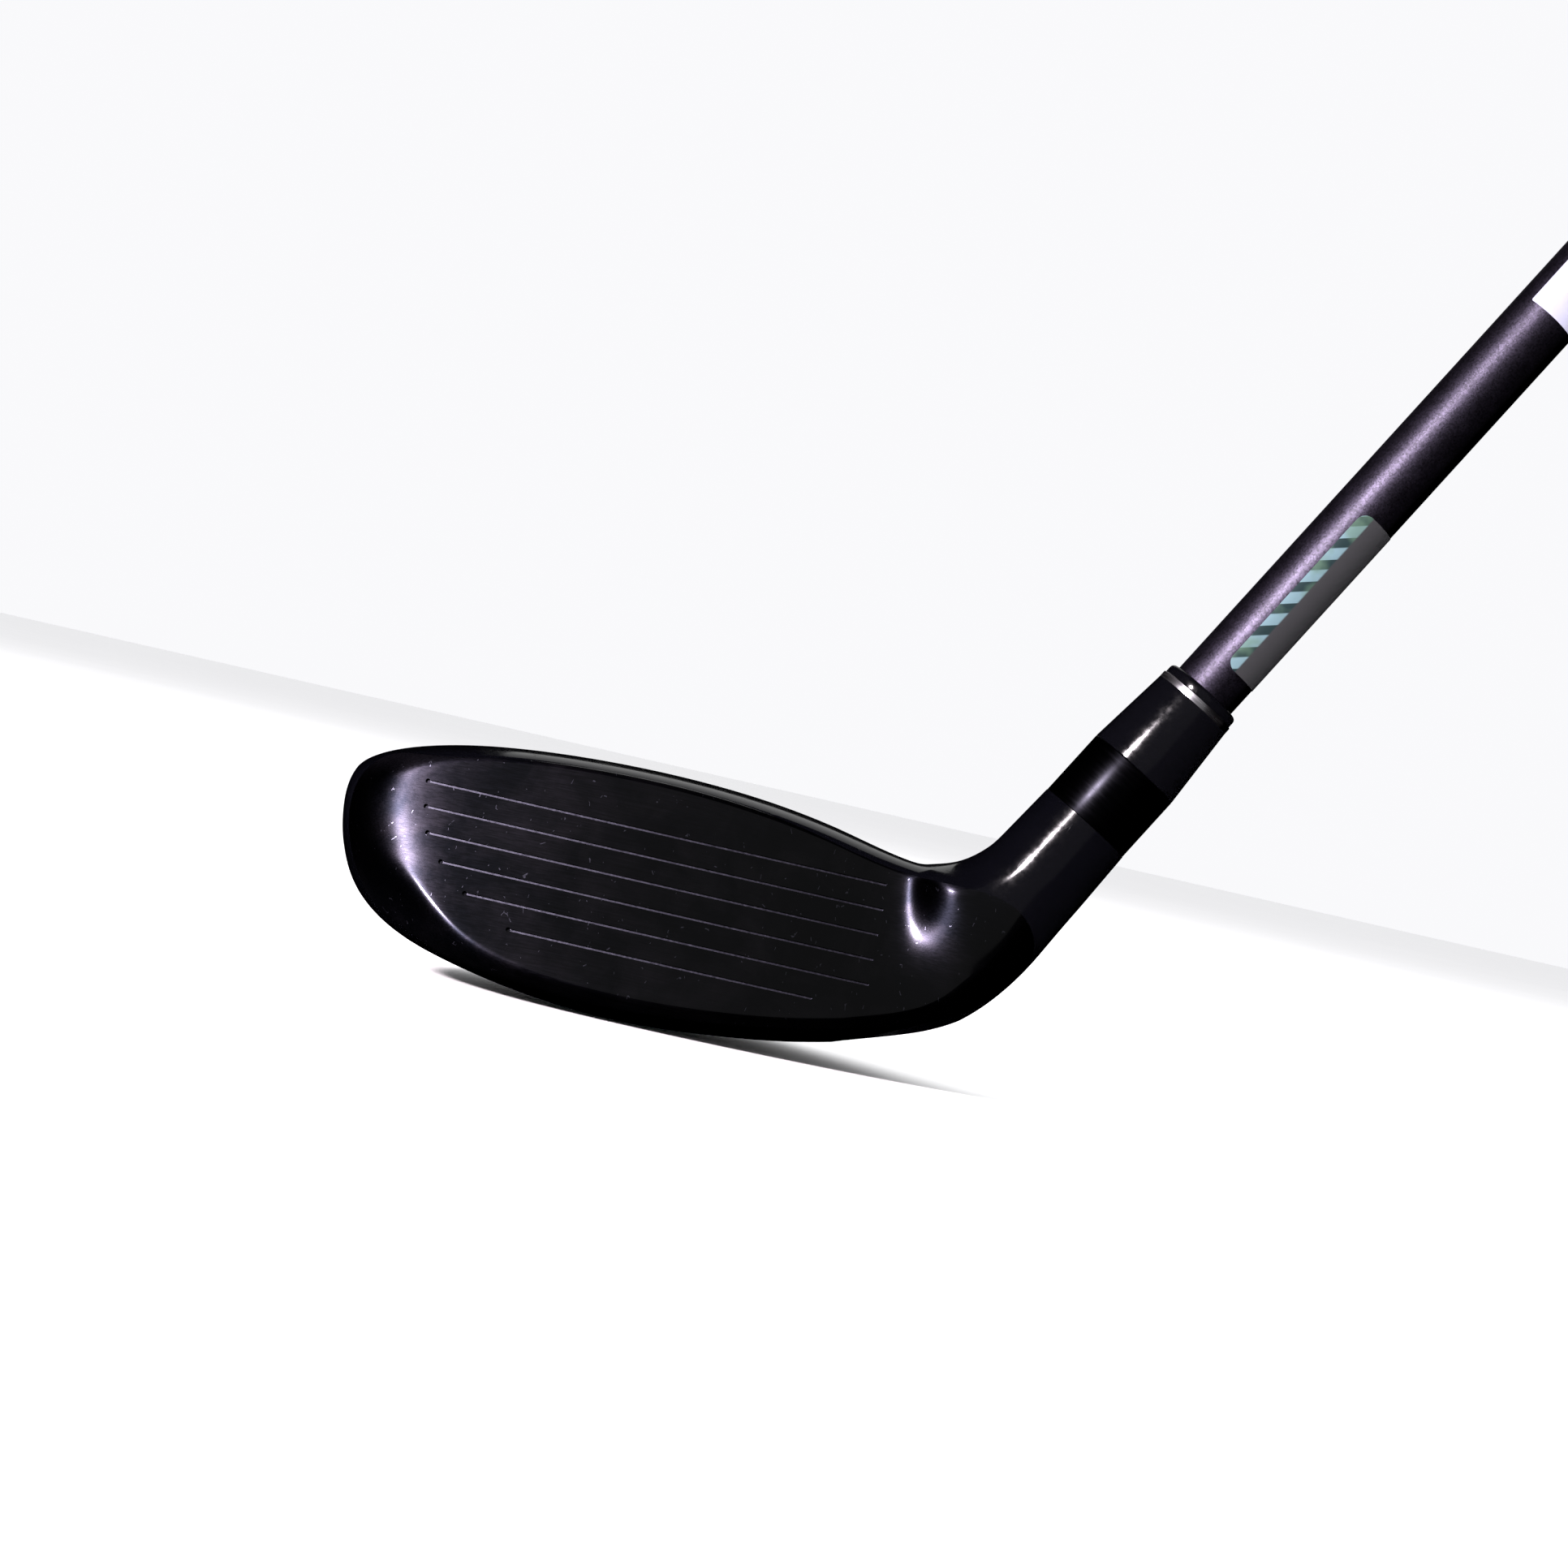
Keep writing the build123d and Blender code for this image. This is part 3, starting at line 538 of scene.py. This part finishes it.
# places as shares of a section's depth or height, and how long each curve's handle is
wedge = {"apex": 0.4, "keel": 0.26, "tail": 0.36, "topRoll": 0.85, "footRoll": 0.55, "tailRoll": 0.14,
         "crownFront": 0.55, "crownRear": 0.6, "soleRear": 0.62, "soleFront": 0.6}


def wedgeSection(foot, brow, rear, low, high):
    front = foot[0]
    apex = (front + wedge["apex"] * (rear - front), high)
    keel = (front + wedge["keel"] * (rear - front), low)
    tail = (rear, low + wedge["tail"] * (high - low))
    rise = Vector((brow[0] - foot[0], brow[1] - foot[1]))
    slope = rise.normalized()
    topRoll = wedge["topRoll"] * (high - brow[1])
    footRoll = wedge["footRoll"] * (foot[1] - low)
    tailRoll = wedge["tailRoll"] * (high - low)
    return [
        [foot, (foot[0] + rise.x / 3, foot[1] + rise.y / 3),
         (foot[0] + rise.x * 2 / 3, foot[1] + rise.y * 2 / 3), brow],
        [brow, (brow[0] + slope.x * topRoll, brow[1] + slope.y * topRoll),
         (apex[0] - wedge["crownFront"] * (apex[0] - brow[0]), high), apex],
        [apex, (apex[0] + wedge["crownRear"] * (rear - apex[0]), high), (rear, tail[1] + tailRoll), tail],
        [tail, (rear, tail[1] - tailRoll), (keel[0] + wedge["soleRear"] * (rear - keel[0]), low), keel],
        [keel, (keel[0] - wedge["soleFront"] * (keel[0] - front), low),
         (foot[0] - slope.x * footRoll, foot[1] - slope.y * footRoll), foot]]


def sectionRing(flat, round_, share, place):
    # points along the five blended curves, put in their plane
    points = []
    for a, b in zip(flat, round_):
        knots = [Vector((*p, 0)).lerp(Vector((*q, 0)), share) for p, q in zip(a, b)]
        points += interpolate_bezier(*knots, head["ringPoints"] + 1)[:-1]
    return [place(p[0], p[1]) for p in points]


def formRings(faceSkin, wall, neckWall, toeWall, first=0, last=None):
    rings = []
    rows = [(x * (head["toeReach"] - toeWall), *rest) for x, *rest in toeSections] + heelSections
    for x, low, high, foot, brow, tail, setback, share in rows:
        low, high = low + wall, high - wall
        foot, brow = max(foot, low + head["footRoom"]), min(brow, high - head["browRoom"])
        skin = faceSkin / cos(head["faceLoft"]) + setback
        rear = tail * head["depth"] - wall
        feet = (faceY(x, foot) + skin, foot)
        brows = (faceY(x, brow) + skin, brow)
        flat = wedgeSection(feet, brows, rear, low, high)
        rings.append(sectionRing(flat, roundedSection(feet[0], rear, low, high), share,
                                 lambda y, v: (x, y, v)))
    for turn, below, tail, share, swing in turnSections:
        angle = turn * lie
        skin = faceSkin + (neckWall - faceSkin) * turn
        inset = wall + (neckWall - wall) * turn
        high, low = -head["crotchRadius"] - inset, -below + inset
        edges = []
        for v in (low + head["turnFoot"] * (high - low), high - head["turnBrow"] * (high - low)):
            front = faceY(turnX - v * sin(angle), turnZ + v * cos(angle))
            edges.append((front + swing * (-head["neckRadius"] - front) + skin, v))
        rear = tail * head["depth"] - inset
        flat = wedgeSection(edges[0], edges[1], rear, low, high)
        round_ = roundedSection(-head["neckRadius"] + neckWall, rear, low, high)
        rings.append(sectionRing(flat, round_, share,
                                 lambda y, v: (turnX - v * sin(angle), y, turnZ + v * cos(angle))))
    radius = head["neckRadius"] - neckWall
    centre = -head["crotchRadius"] - head["neckRadius"]
    circle = roundedSection(-radius, radius, centre - radius, centre + radius)
    rings.append(sectionRing(circle, circle, 0, lambda y, v: (
        turnX - v * sin(lie), y, turnZ + v * cos(lie))))
    return np.array(rings[first:last])


def domed(rings):
    # the toe's last flat section becomes a dome of the same reach
    start, end = rings[1], rings[0]
    middle, tip = start.mean(axis=0), end.mean(axis=0)
    dome = []
    for share in (0.995, 0.93, 0.78, 0.5, 0.22):
        dome.append(middle + (tip - middle) * share + (start - middle) * (1 - share) ** 0.5)
    return np.concatenate([np.array(dome), rings[1:]])


def necked(rings):
    # the straight neck above the turn
    centre = np.array(groundPoint) / mm + np.array(upShaft) * turnHeight
    rise = neckTop - turnHeight
    more = []
    for share in (0.25, 0.5, 0.75, 1.0):
        shrink = 1 + share * (head["neckTopRadius"] / head["neckRadius"] - 1)
        more.append(centre + (rings[-1] - centre) * shrink + np.array(upShaft) * rise * share)
    return np.concatenate([rings, np.array(more)])


def bridged(rings, count, name, materials=()):
    shape = rings.shape
    smooth = smoothThrough(rings.reshape(shape[0], -1), count).reshape(count, shape[1], 3)
    bm = bmesh.new()
    loops = []
    for ring in smooth:
        verts = [bm.verts.new(Vector(p) * mm) for p in ring]
        loops.append([bm.edges.new(pair) for pair in zip(verts, verts[1:] + verts[:1])])
    for low, high in zip(loops, loops[1:]):
        bmesh.ops.bridge_loops(bm, edges=low + high)
    for end in (loops[0], loops[-1]):
        bmesh.ops.edgeloop_fill(bm, edges=end)
    bmesh.ops.recalc_face_normals(bm, faces=bm.faces)
    return newObject(bm, name, materials)


coreRings = 90
walls = {"face": 2.0, "neckSkin": 1.1, "crown": 0.9, "body": 1.8, "inlay": 0.5, "score": 0.3}
outer = bridged(necked(domed(formRings(0, 0, 0, 0))), head["rings"], "outerForm", [blackPaint])
cupCore = bridged(domed(formRings(walls["face"], walls["body"], walls["neckSkin"], walls["body"])),
                  coreRings, "cupCore")
crownCore = bridged(domed(formRings(*(walls["crown"],) * 4)), coreRings, "crownCore")
inlayCore = bridged(domed(formRings(*(walls["inlay"],) * 4)), coreRings, "inlayCore")
scoreCore = bridged(domed(formRings(*(walls["score"],) * 4)), head["rings"], "scoreCore")
hollow = bridged(formRings(0.3 * walls["face"], *(walls["body"],) * 3, 2, len(toeSections) + 3),
                 coreRings, "hollow")
print("head forms lofted")

# ---- cutting tools for the head
cup = {
    "behind": 6.0,          # mm that it reaches behind the shaft's axis
    "through": 36.0,
    "edge": [(38.3, 6.4), (43.4, 9.8), (48.7, 13.9), (51.9, 17.5), (53.3, 21.5), (50.4, 26.5),
             (44.0, 28.3), (34.6, 28.4), (20.0, 31.1), (4.0, 33.0), (-7.5, 33.0), (-23.0, 31.5),
             (-34.0, 29.6), (-38.9, 28.4), (-41.3, 25.6), (-42.0, 21.1), (-40.4, 14.6),
             (-36.8, 9.2), (-34.6, 7.2)],
    "under": [(-33.0, 7.0), (-28.9, 5.2), (-23.4, 2.9), (-18.0, -6.0), (34.0, -6.0)],
    "points": 220,
}
cupOutline = list(smoothThrough(cup["edge"], cup["points"])) + cup["under"]
cupPrism = prism([(x, cup["behind"], z) for x, z in cupOutline], (0, -cup["through"], 0), "cupPrism")

crownPlate = {
    "lowest": 16.0,
    "ledge": 3.5,
    "centre": (-3.0, 18.0),
    "rim": [(31.0, 8.0), (29.5, 24.0), (23.5, 35.0), (13.5, 41.2), (2.0, 43.6), (-11.5, 42.6),
            (-23.5, 38.6), (-32.0, 31.5), (-36.5, 22.0), (-37.5, 8.0)],
    "points": 160,
}


def crownColumn(inset, front, name):
    centre = Vector(crownPlate["centre"])
    moved = []
    for point in crownPlate["rim"]:
        out = Vector(point) - centre
        moved.append(centre + out * ((out.length - inset) / out.length))
    rim = list(smoothThrough(moved, crownPlate["points"]))
    outline = [*rim, (moved[-1].x, front), (moved[0].x, front)]
    return prism([(x, y, crownPlate["lowest"]) for x, y in outline], (0, 0, head["height"]), name)


crownPrism = crownColumn(0, -head["depth"], "crownPrism")
crownOpening = crownColumn(crownPlate["ledge"], cup["behind"] + walls["face"], "crownOpening")

badge = {
    "front": [(-35.5, 13.0), (-34.5, 2.0), (-28.0, -6.0), (-18.0, -9.0)],
    "rear": [(-18.0, -9.0), (-24.0, 1.0), (-28.5, 7.5), (-35.5, 13.0)],
    "points": 40,
    "low": -5.0,
    "rise": 21.0,
}
badgeOutline = [*smoothThrough(badge["front"], badge["points"])[:-1],
                *smoothThrough(badge["rear"], badge["points"])[:-1]]
soleBadgePrism = prism([(x, y, badge["low"]) for x, y in badgeOutline], (0, 0, badge["rise"]),
                       "soleBadgePrism", satinSteel)
combine(soleBadgePrism, [inlayCore], "DIFFERENCE")


def slotOutline(start, end, width, across, segments=12):
    # a bar with round ends between two places
    points = []
    radius = width / 2
    for middle, first in ((end - radius, -90), (start + radius, 90)):
        for i in range(segments + 1):
            angle = radians(first + 180 * i / segments)
            points.append((middle + radius * cos(angle), across + radius * sin(angle)))
    return points


toeBadge = {"start": 7.0, "length": 15.0, "width": 2.6, "height": 22.6, "beyond": 5.0, "through": 15.0}
toeOutline = slotOutline(toeBadge["start"], toeBadge["start"] + toeBadge["length"], toeBadge["width"],
                         toeBadge["height"])
toeBadgePrism = prism([(-head["toeReach"] - toeBadge["beyond"], y, z) for y, z in toeOutline],
                      (toeBadge["through"], 0, 0), "toeBadgePrism", satinSteel)
combine(toeBadgePrism, [inlayCore], "DIFFERENCE")

score = {
    "pitch": 3.4,
    "top": 26.3,
    "width": 0.34,
    "dot": 0.64,            # the round end on the toe side, a little wider than its line
    "dotLength": 0.65,
    "dotLead": 0.1,
    "behind": 15.0,         # the cutters start behind the face and run out through it
    "through": 40.0,
    "ends": [(-32.4, 31.8), (-31.8, 32.1), (-30.7, 32.1), (-28.0, 32.2), (-23.8, 32.3), (-16.9, 25.2)],
}


def scoreTool(start, end, width, height, name, material):
    outline = [(x, score["behind"], z) for x, z in slotOutline(start, end, width, height)]
    return prism(outline, (0, -score["through"], 0), name, material)


scoreTools = []
for number, (start, end) in enumerate(score["ends"]):
    height = score["top"] - number * score["pitch"]
    bar = scoreTool(start, end, score["width"], height, "scoreBar", scoreSteel)
    dotStart = start - score["dotLead"]
    dot = scoreTool(dotStart, dotStart + score["dotLength"], score["dot"], height, "scoreDot", faceSteel)
    combine(bar, [scoreCore], "DIFFERENCE")
    combine(dot, [inlayCore], "DIFFERENCE")
    scoreTools += [bar, dot]

# the port from below, the hole in the web that the screw passes, and the sleeve's bore
hosel = {"boreRadius": 5.5, "portRadius": 5.6, "webLow": 19.5, "web": 2.6, "clear": 2.55, "low": -10.0,
         "above": 5.0}
webHigh = hosel["webLow"] + hosel["web"]
boreTop = neckTop + hosel["above"]
bores = turned([(0, hosel["low"]), (hosel["portRadius"], hosel["low"]),
                (hosel["portRadius"], hosel["webLow"]), (hosel["clear"], hosel["webLow"]),
                (hosel["clear"], webHigh), (hosel["boreRadius"], webHigh), (hosel["boreRadius"], boreTop),
                (0, boreTop)], "bores", [blackPaint], 64)
print("cutting tools made")


def toothBlocks(low, high, reach, width, name):
    # four blocks round the bore, halfway between the heel side, front, toe side and rear
    bm = bmesh.new()
    middle = (low + high) / 2
    for number in range(4):
        place = Matrix.Rotation(radians(45 + 90 * number), 4, "Z")
        place @= Matrix.Translation(Vector((reach[0] + reach[1], 0, 2 * middle)) * mm / 2)
        place @= Matrix.Diagonal(((reach[1] - reach[0]) * mm, width * mm, (high - low) * mm, 1))
        bmesh.ops.create_cube(bm, size=1.0, matrix=shaftFrame @ place)
    bmesh.ops.recalc_face_normals(bm, faces=bm.faces)
    return newObject(bm, name, [])


tooth = {"height": 2.0, "width": 3.0, "gap": 0.1, "reach": 0.6}
notchReach = (hosel["boreRadius"] - 0.6, hosel["boreRadius"] + tooth["reach"] + tooth["gap"])
notchWidth = tooth["width"] + 2 * tooth["gap"]
lugReach = (hosel["boreRadius"] + 0.03, hosel["boreRadius"] + tooth["reach"])
neckNotches = toothBlocks(neckTop - tooth["height"] - tooth["gap"], neckTop + 1, notchReach, notchWidth,
                          "neckNotches")

# ---- head pieces
faceCup = copyOf(outer, "faceCup")
faceCup.data.materials.clear()
faceCup.data.materials.append(faceSteel)
combine(faceCup, [cupPrism], "INTERSECT")
combine(faceCup, [cupCore, bores, *scoreTools], "DIFFERENCE")
brushMap = faceCup.data.uv_layers.new(name="brush")    # first axis upright, across the brushing
for loop, spot in zip(faceCup.data.loops, brushMap.data):
    place = faceCup.data.vertices[loop.vertex_index].co
    spot.uv = (place.z / (100 * mm), place.x / (100 * mm))
mount(faceCup, "face_cup")

crownShell = combine(copyOf(outer, "crownShell"), [crownPrism], "INTERSECT")
combine(crownShell, [cupPrism, crownCore], "DIFFERENCE")
mount(crownShell, "crown")

cupPocket = combine(copyOf(cupPrism, "cupPocket"), [cupCore], "DIFFERENCE")
crownPocket = combine(copyOf(crownPrism, "crownPocket"), [crownCore], "DIFFERENCE")
headBody = copyOf(outer, "headBody")
combine(headBody, [hollow, cupPocket, crownPocket, crownOpening, soleBadgePrism, toeBadgePrism, bores,
                   neckNotches], "DIFFERENCE")
mount(headBody, "head_body")

for name, badgePrism, node in (("soleBadge", soleBadgePrism, "sole_badge"),
                               ("toeBadge", toeBadgePrism, "toe_badge")):
    inlay = copyOf(badgePrism, name)
    combine(inlay, [outer], "INTERSECT")
    combine(inlay, [cupPrism], "DIFFERENCE")
    mount(inlay, node)
print("head made")

# ---- collars of the hosel
ringRadius = span("loft_ring")[2]
loftRing = turned([(hosel["boreRadius"], neckTop), (ringRadius, neckTop, collar["rounding"]),
                   (ringRadius, ringHigh, collar["rounding"]), (hosel["boreRadius"], ringHigh)],
                  "loftRing", [satinAnodising], 128)
ringLugs = toothBlocks(neckTop - tooth["height"], neckTop + 1, lugReach, tooth["width"], "ringLugs")
ringNotches = toothBlocks(ringHigh - tooth["height"] - tooth["gap"], ringHigh + 1, notchReach, notchWidth,
                          "ringNotches")
combine(loftRing, [ringLugs], "UNION")
combine(loftRing, [ringNotches], "DIFFERENCE")
mount(loftRing, "loft_ring")

ferruleLow, ferruleHigh, ferruleRadius = span("ferrule")
trimLow, trimHigh, trimRadius = span("ferrule_trim")
capLow, capHigh, capRadius = span("ferrule_cap")
shaftSize = {"tip": 4.74, "parallelEnd": 150.0, "wall": 1.4}
boreRadius = shaftSize["tip"] + collar["glue"]
recess = collar["flangeRadius"] + collar["glue"]
recessTop = ferruleLow + collar["flangeLength"]
ferrule = turned([(recess, ferruleLow), (ferruleRadius, ferruleLow, collar["rounding"]),
                  (trimRadius, ferruleHigh), (boreRadius, ferruleHigh), (boreRadius, recessTop),
                  (recess, recessTop)], "ferrule", [ferrulePlastic], 128)
mount(ferrule, "ferrule")
trim = turned([(boreRadius, trimLow), (trimRadius, trimLow), (trimRadius, trimHigh, collar["trimRounding"]),
               (boreRadius, trimHigh)], "ferruleTrim", [polishedTrim], 128)
mount(trim, "ferrule_trim")
cap = turned([(boreRadius, capLow), (capRadius, capLow, collar["trimRounding"]),
              (capRadius, capHigh, collar["capRounding"]), (boreRadius, capHigh)],
             "ferruleCap", [ferrulePlastic], 128)
mount(cap, "ferrule_cap")

# ---- shaft and its films
shaftLow, shaftHigh, buttRadius = span("shaft")
shaft = turned([
    (shaftSize["tip"] - shaftSize["wall"], shaftLow), (shaftSize["tip"], shaftLow, 0.2),
    (shaftSize["tip"], shaftSize["parallelEnd"]), (buttRadius, shaftHigh),
    (buttRadius - shaftSize["wall"], shaftHigh),
    (shaftSize["tip"] - shaftSize["wall"], shaftSize["parallelEnd"])], "shaft", [shaftPaint], 96)
mount(shaft, "shaft")


def shaftRadius(height):
    share = max(0.0, (height - shaftSize["parallelEnd"]) / (shaftHigh - shaftSize["parallelEnd"]))
    return shaftSize["tip"] + (buttRadius - shaftSize["tip"]) * share


films = {"thickness": 0.076, "glue": 0.004, "step": radians(4), "rise": 6.0}


def film(low, high, firstAngle, wrap, corner, name, material):
    # a thin sheet with round corners, cut flat and then bent round the shaft
    bm = bmesh.new()
    left, right = firstAngle * shaftSize["tip"], (firstAngle + wrap) * shaftSize["tip"]
    sheet = bm.faces.new([bm.verts.new((u * mm, v * mm, 0)) for u, v in (
        (left, low), (right, low), (right, high), (left, high))])
    bmesh.ops.bevel(bm, geom=sheet.verts[:], offset=corner * mm, affect="VERTICES", segments=8,
                    profile=0.5, material=-1)
    step = films["step"] * shaftSize["tip"]
    u = left + step
    while u < right - 0.1 * step:
        bmesh.ops.bisect_plane(bm, geom=bm.verts[:] + bm.edges[:] + bm.faces[:], dist=1e-8,
                               plane_co=(u * mm, 0, 0), plane_no=(1, 0, 0))
        u += step
    v = low + films["rise"]
    while v < high - 1:
        bmesh.ops.bisect_plane(bm, geom=bm.verts[:] + bm.edges[:] + bm.faces[:], dist=1e-8,
                               plane_co=(0, v * mm, 0), plane_no=(0, 1, 0))
        v += films["rise"]
    bmesh.ops.solidify(bm, geom=bm.faces[:], thickness=films["thickness"] * mm)
    base = min(vert.co.z for vert in bm.verts)
    for vert in bm.verts:
        angle = vert.co.x / mm / shaftSize["tip"]
        radius = shaftRadius(vert.co.y / mm) * mm + vert.co.z - base + films["glue"] * mm
        vert.co = shaftFrame @ Vector((radius * cos(angle), radius * sin(angle), vert.co.y))
    bmesh.ops.recalc_face_normals(bm, faces=bm.faces)
    if bm.calc_volume(signed=True) < 0:    # so thin a sheet can come out inside out
        bmesh.ops.reverse_faces(bm, faces=bm.faces)
    return newObject(bm, name, [material])


labelLow, labelHigh = span("shaft_label")[:2]
label = film(labelLow, labelHigh, radians(-8.5), radians(145), 1.6, "shaftLabel", labelFilm)
mount(label, "shaft_label")
decalLow, decalHigh = span("shaft_decal")[:2]
decal = film(decalLow, decalHigh, radians(-41), radians(200), 0.3, "shaftDecal", decalFilm)
mount(decal, "shaft_decal")

# ---- grip: moulded rubber with rows of small ribs between plain bands
gripLow, gripHigh, gripRadius = span("grip")
gripSize = {"wallAtMouth": 1.15, "mouthFit": 0.01, "buttFit": 0.21, "around": 120, "along": 520,
            "depth": 0.28, "ribs": 30, "rowPitch": 4.2, "ribEdge": 4.0, "ribShare": 0.85, "band": 12.0}
mouthRadius = shaftRadius(gripLow) + gripSize["wallAtMouth"]
gripBore = [(buttRadius + gripSize["buttFit"], gripHigh),
            (shaftRadius(gripLow) + gripSize["mouthFit"], gripLow)]
outside = []
for i in range(gripSize["along"] + 1):
    share = i / gripSize["along"]
    outside.append((mouthRadius + (gripRadius - mouthRadius) * share,
                    gripLow + (gripHigh - gripLow) * share))
grip = turned([*outside, *gripBore], "grip", [gripRubber], gripSize["around"])
bm = bmesh.new()
bm.from_mesh(grip.data)
toLocal = shaftFrame.inverted()
for vert in bm.verts:
    local = toLocal @ vert.co
    height, radius = local.z / mm, hypot(local.x, local.y) / mm
    skin = mouthRadius + (gripRadius - mouthRadius) * (height - gripLow) / (gripHigh - gripLow)
    plain = height < gripLow + gripSize["band"] or height > gripHigh - gripSize["band"]
    if plain or radius < skin - 0.05:
        continue
    turn = np.arctan2(local.y, local.x) / (2 * pi)
    row = (height - gripLow) / gripSize["rowPitch"]
    wave = (turn * gripSize["ribs"] + 0.5 * (int(row) % 2)) % 1.0
    across = abs(wave - 0.5) * 2
    up = abs((row % 1.0) - 0.5) * 2
    slope = (across + up - gripSize["ribShare"]) * gripSize["ribEdge"]
    sunk = gripSize["depth"] * max(0.0, min(1.0, slope))
    scale = (radius - sunk) / radius
    vert.co = shaftFrame @ Vector((local.x * scale, local.y * scale, local.z))
bm.to_mesh(grip.data)
bm.free()
mount(grip, "grip", radians(75))
endLow, endHigh, endRadius = span("grip_cap")
endSize = {"vent": 1.6, "ventRounding": 0.3, "rounding": 1.2}
gripCap = turned([
    (endSize["vent"], endLow), (endRadius, endLow, endSize["rounding"]),
    (endRadius, endHigh, endSize["rounding"]),
    (endSize["vent"], endHigh, endSize["ventRounding"])], "gripCap", [gripRubber], 128)
mount(gripCap, "grip_cap")
print("shaft and grip made")

# ---- pieces whose CAD shape stays
for node, material in (("adapter_sleeve", clearAnodising), ("hosel_screw", zincSteel),
                       ("screw_washer", zincSteel), ("screw_retainer", zincSteel), ("tip_plug", nylon),
                       ("sole_weight", castTungsten), ("grip_tape", paperTape)):
    nodes[node].data.materials.clear()
    nodes[node].data.materials.append(material)

for tool in (outer, cupCore, crownCore, inlayCore, scoreCore, hollow, cupPrism, crownPrism, crownOpening,
             soleBadgePrism, toeBadgePrism, bores, neckNotches, ringLugs, ringNotches, cupPocket,
             crownPocket, *scoreTools):
    bpy.data.objects.remove(tool)

# ---- floor, light and camera
studio = {"floorHalf": 25.0, "air": "#f4f4f6", "airStrength": 1.05}
bm = bmesh.new()
bmesh.ops.create_grid(bm, x_segments=1, y_segments=1, size=studio["floorHalf"])
floorPaper = mattStuff("whitePaper", ("#fafafa", "#ffffff"), 400, (0.85, 0.95), 0.0)
floor = newObject(bm, "studioFloor", [floorPaper])
floor.visible_glossy = False    # hidden from reflections, so that the black gloss stays black


def softbox(name, place, target, size, watts, colour="#ffffff"):
    light = bpy.data.lights.new(name, "AREA")
    light.shape = "RECTANGLE"
    light.size, light.size_y = size
    light.energy = watts
    light.color = hexColour(colour)[:3]
    lamp = bpy.data.objects.new(name, light)
    lamp.location = place
    lamp.rotation_euler = (Vector(target) - Vector(place)).to_track_quat("-Z", "Y").to_euler()
    bpy.context.scene.collection.objects.link(lamp)
    return lamp


headCentre = Vector((0.01, 0.0, 0.03))
keyWay = Vector((-0.51, -0.79, 0.34)).normalized()
keyDistance = 1.3
softbox("keyLight", headCentre + keyWay * keyDistance, headCentre, (0.12, 0.12), 52, "#fff4fb")
overhead = softbox("overhead", (0.1, 0.5, 1.9), (0.1, 0.5, 0), (3.2, 3.2), 30)
overhead.visible_glossy = False    # it lights the floor without a reflection in the gloss
softbox("frontFill", (0.0, -2.6, 1.0), headCentre, (3.4, 3.4), 4)
softbox("rearSoftbox", (0.5, 2.0, 1.7), headCentre, (2.0, 2.0), 6)

world = bpy.data.worlds.new("studioAir")
world.use_nodes = True
background = world.node_tree.nodes["Background"]
background.inputs["Color"].default_value = hexColour(studio["air"])
background.inputs["Strength"].default_value = studio["airStrength"]
bpy.context.scene.world = world
world.cycles_visibility.glossy = False    # pale behind the club and dark in its gloss
bpy.context.scene.view_settings.view_transform = "Standard"

view = {"centre": (15.15, 36.6), "distance": 610.0, "roll": radians(12.8), "lens": 102.5}
camera = bpy.data.cameras.new("camera")
camera.lens = view["lens"]
camera.sensor_width = 36
camera.clip_start = 0.01
cameraObject = bpy.data.objects.new("camera", camera)
cameraObject.location = Vector((view["centre"][0], -view["distance"], view["centre"][1])) * mm
up = Vector((-sin(view["roll"]), 0, cos(view["roll"])))
right = Vector((0, 1, 0)).cross(up)
cameraObject.rotation_euler = Matrix((
    (right.x, up.x, 0), (right.y, up.y, -1), (right.z, up.z, 0))).to_euler()
bpy.context.scene.collection.objects.link(cameraObject)
bpy.context.scene.camera = cameraObject
print("stage set")
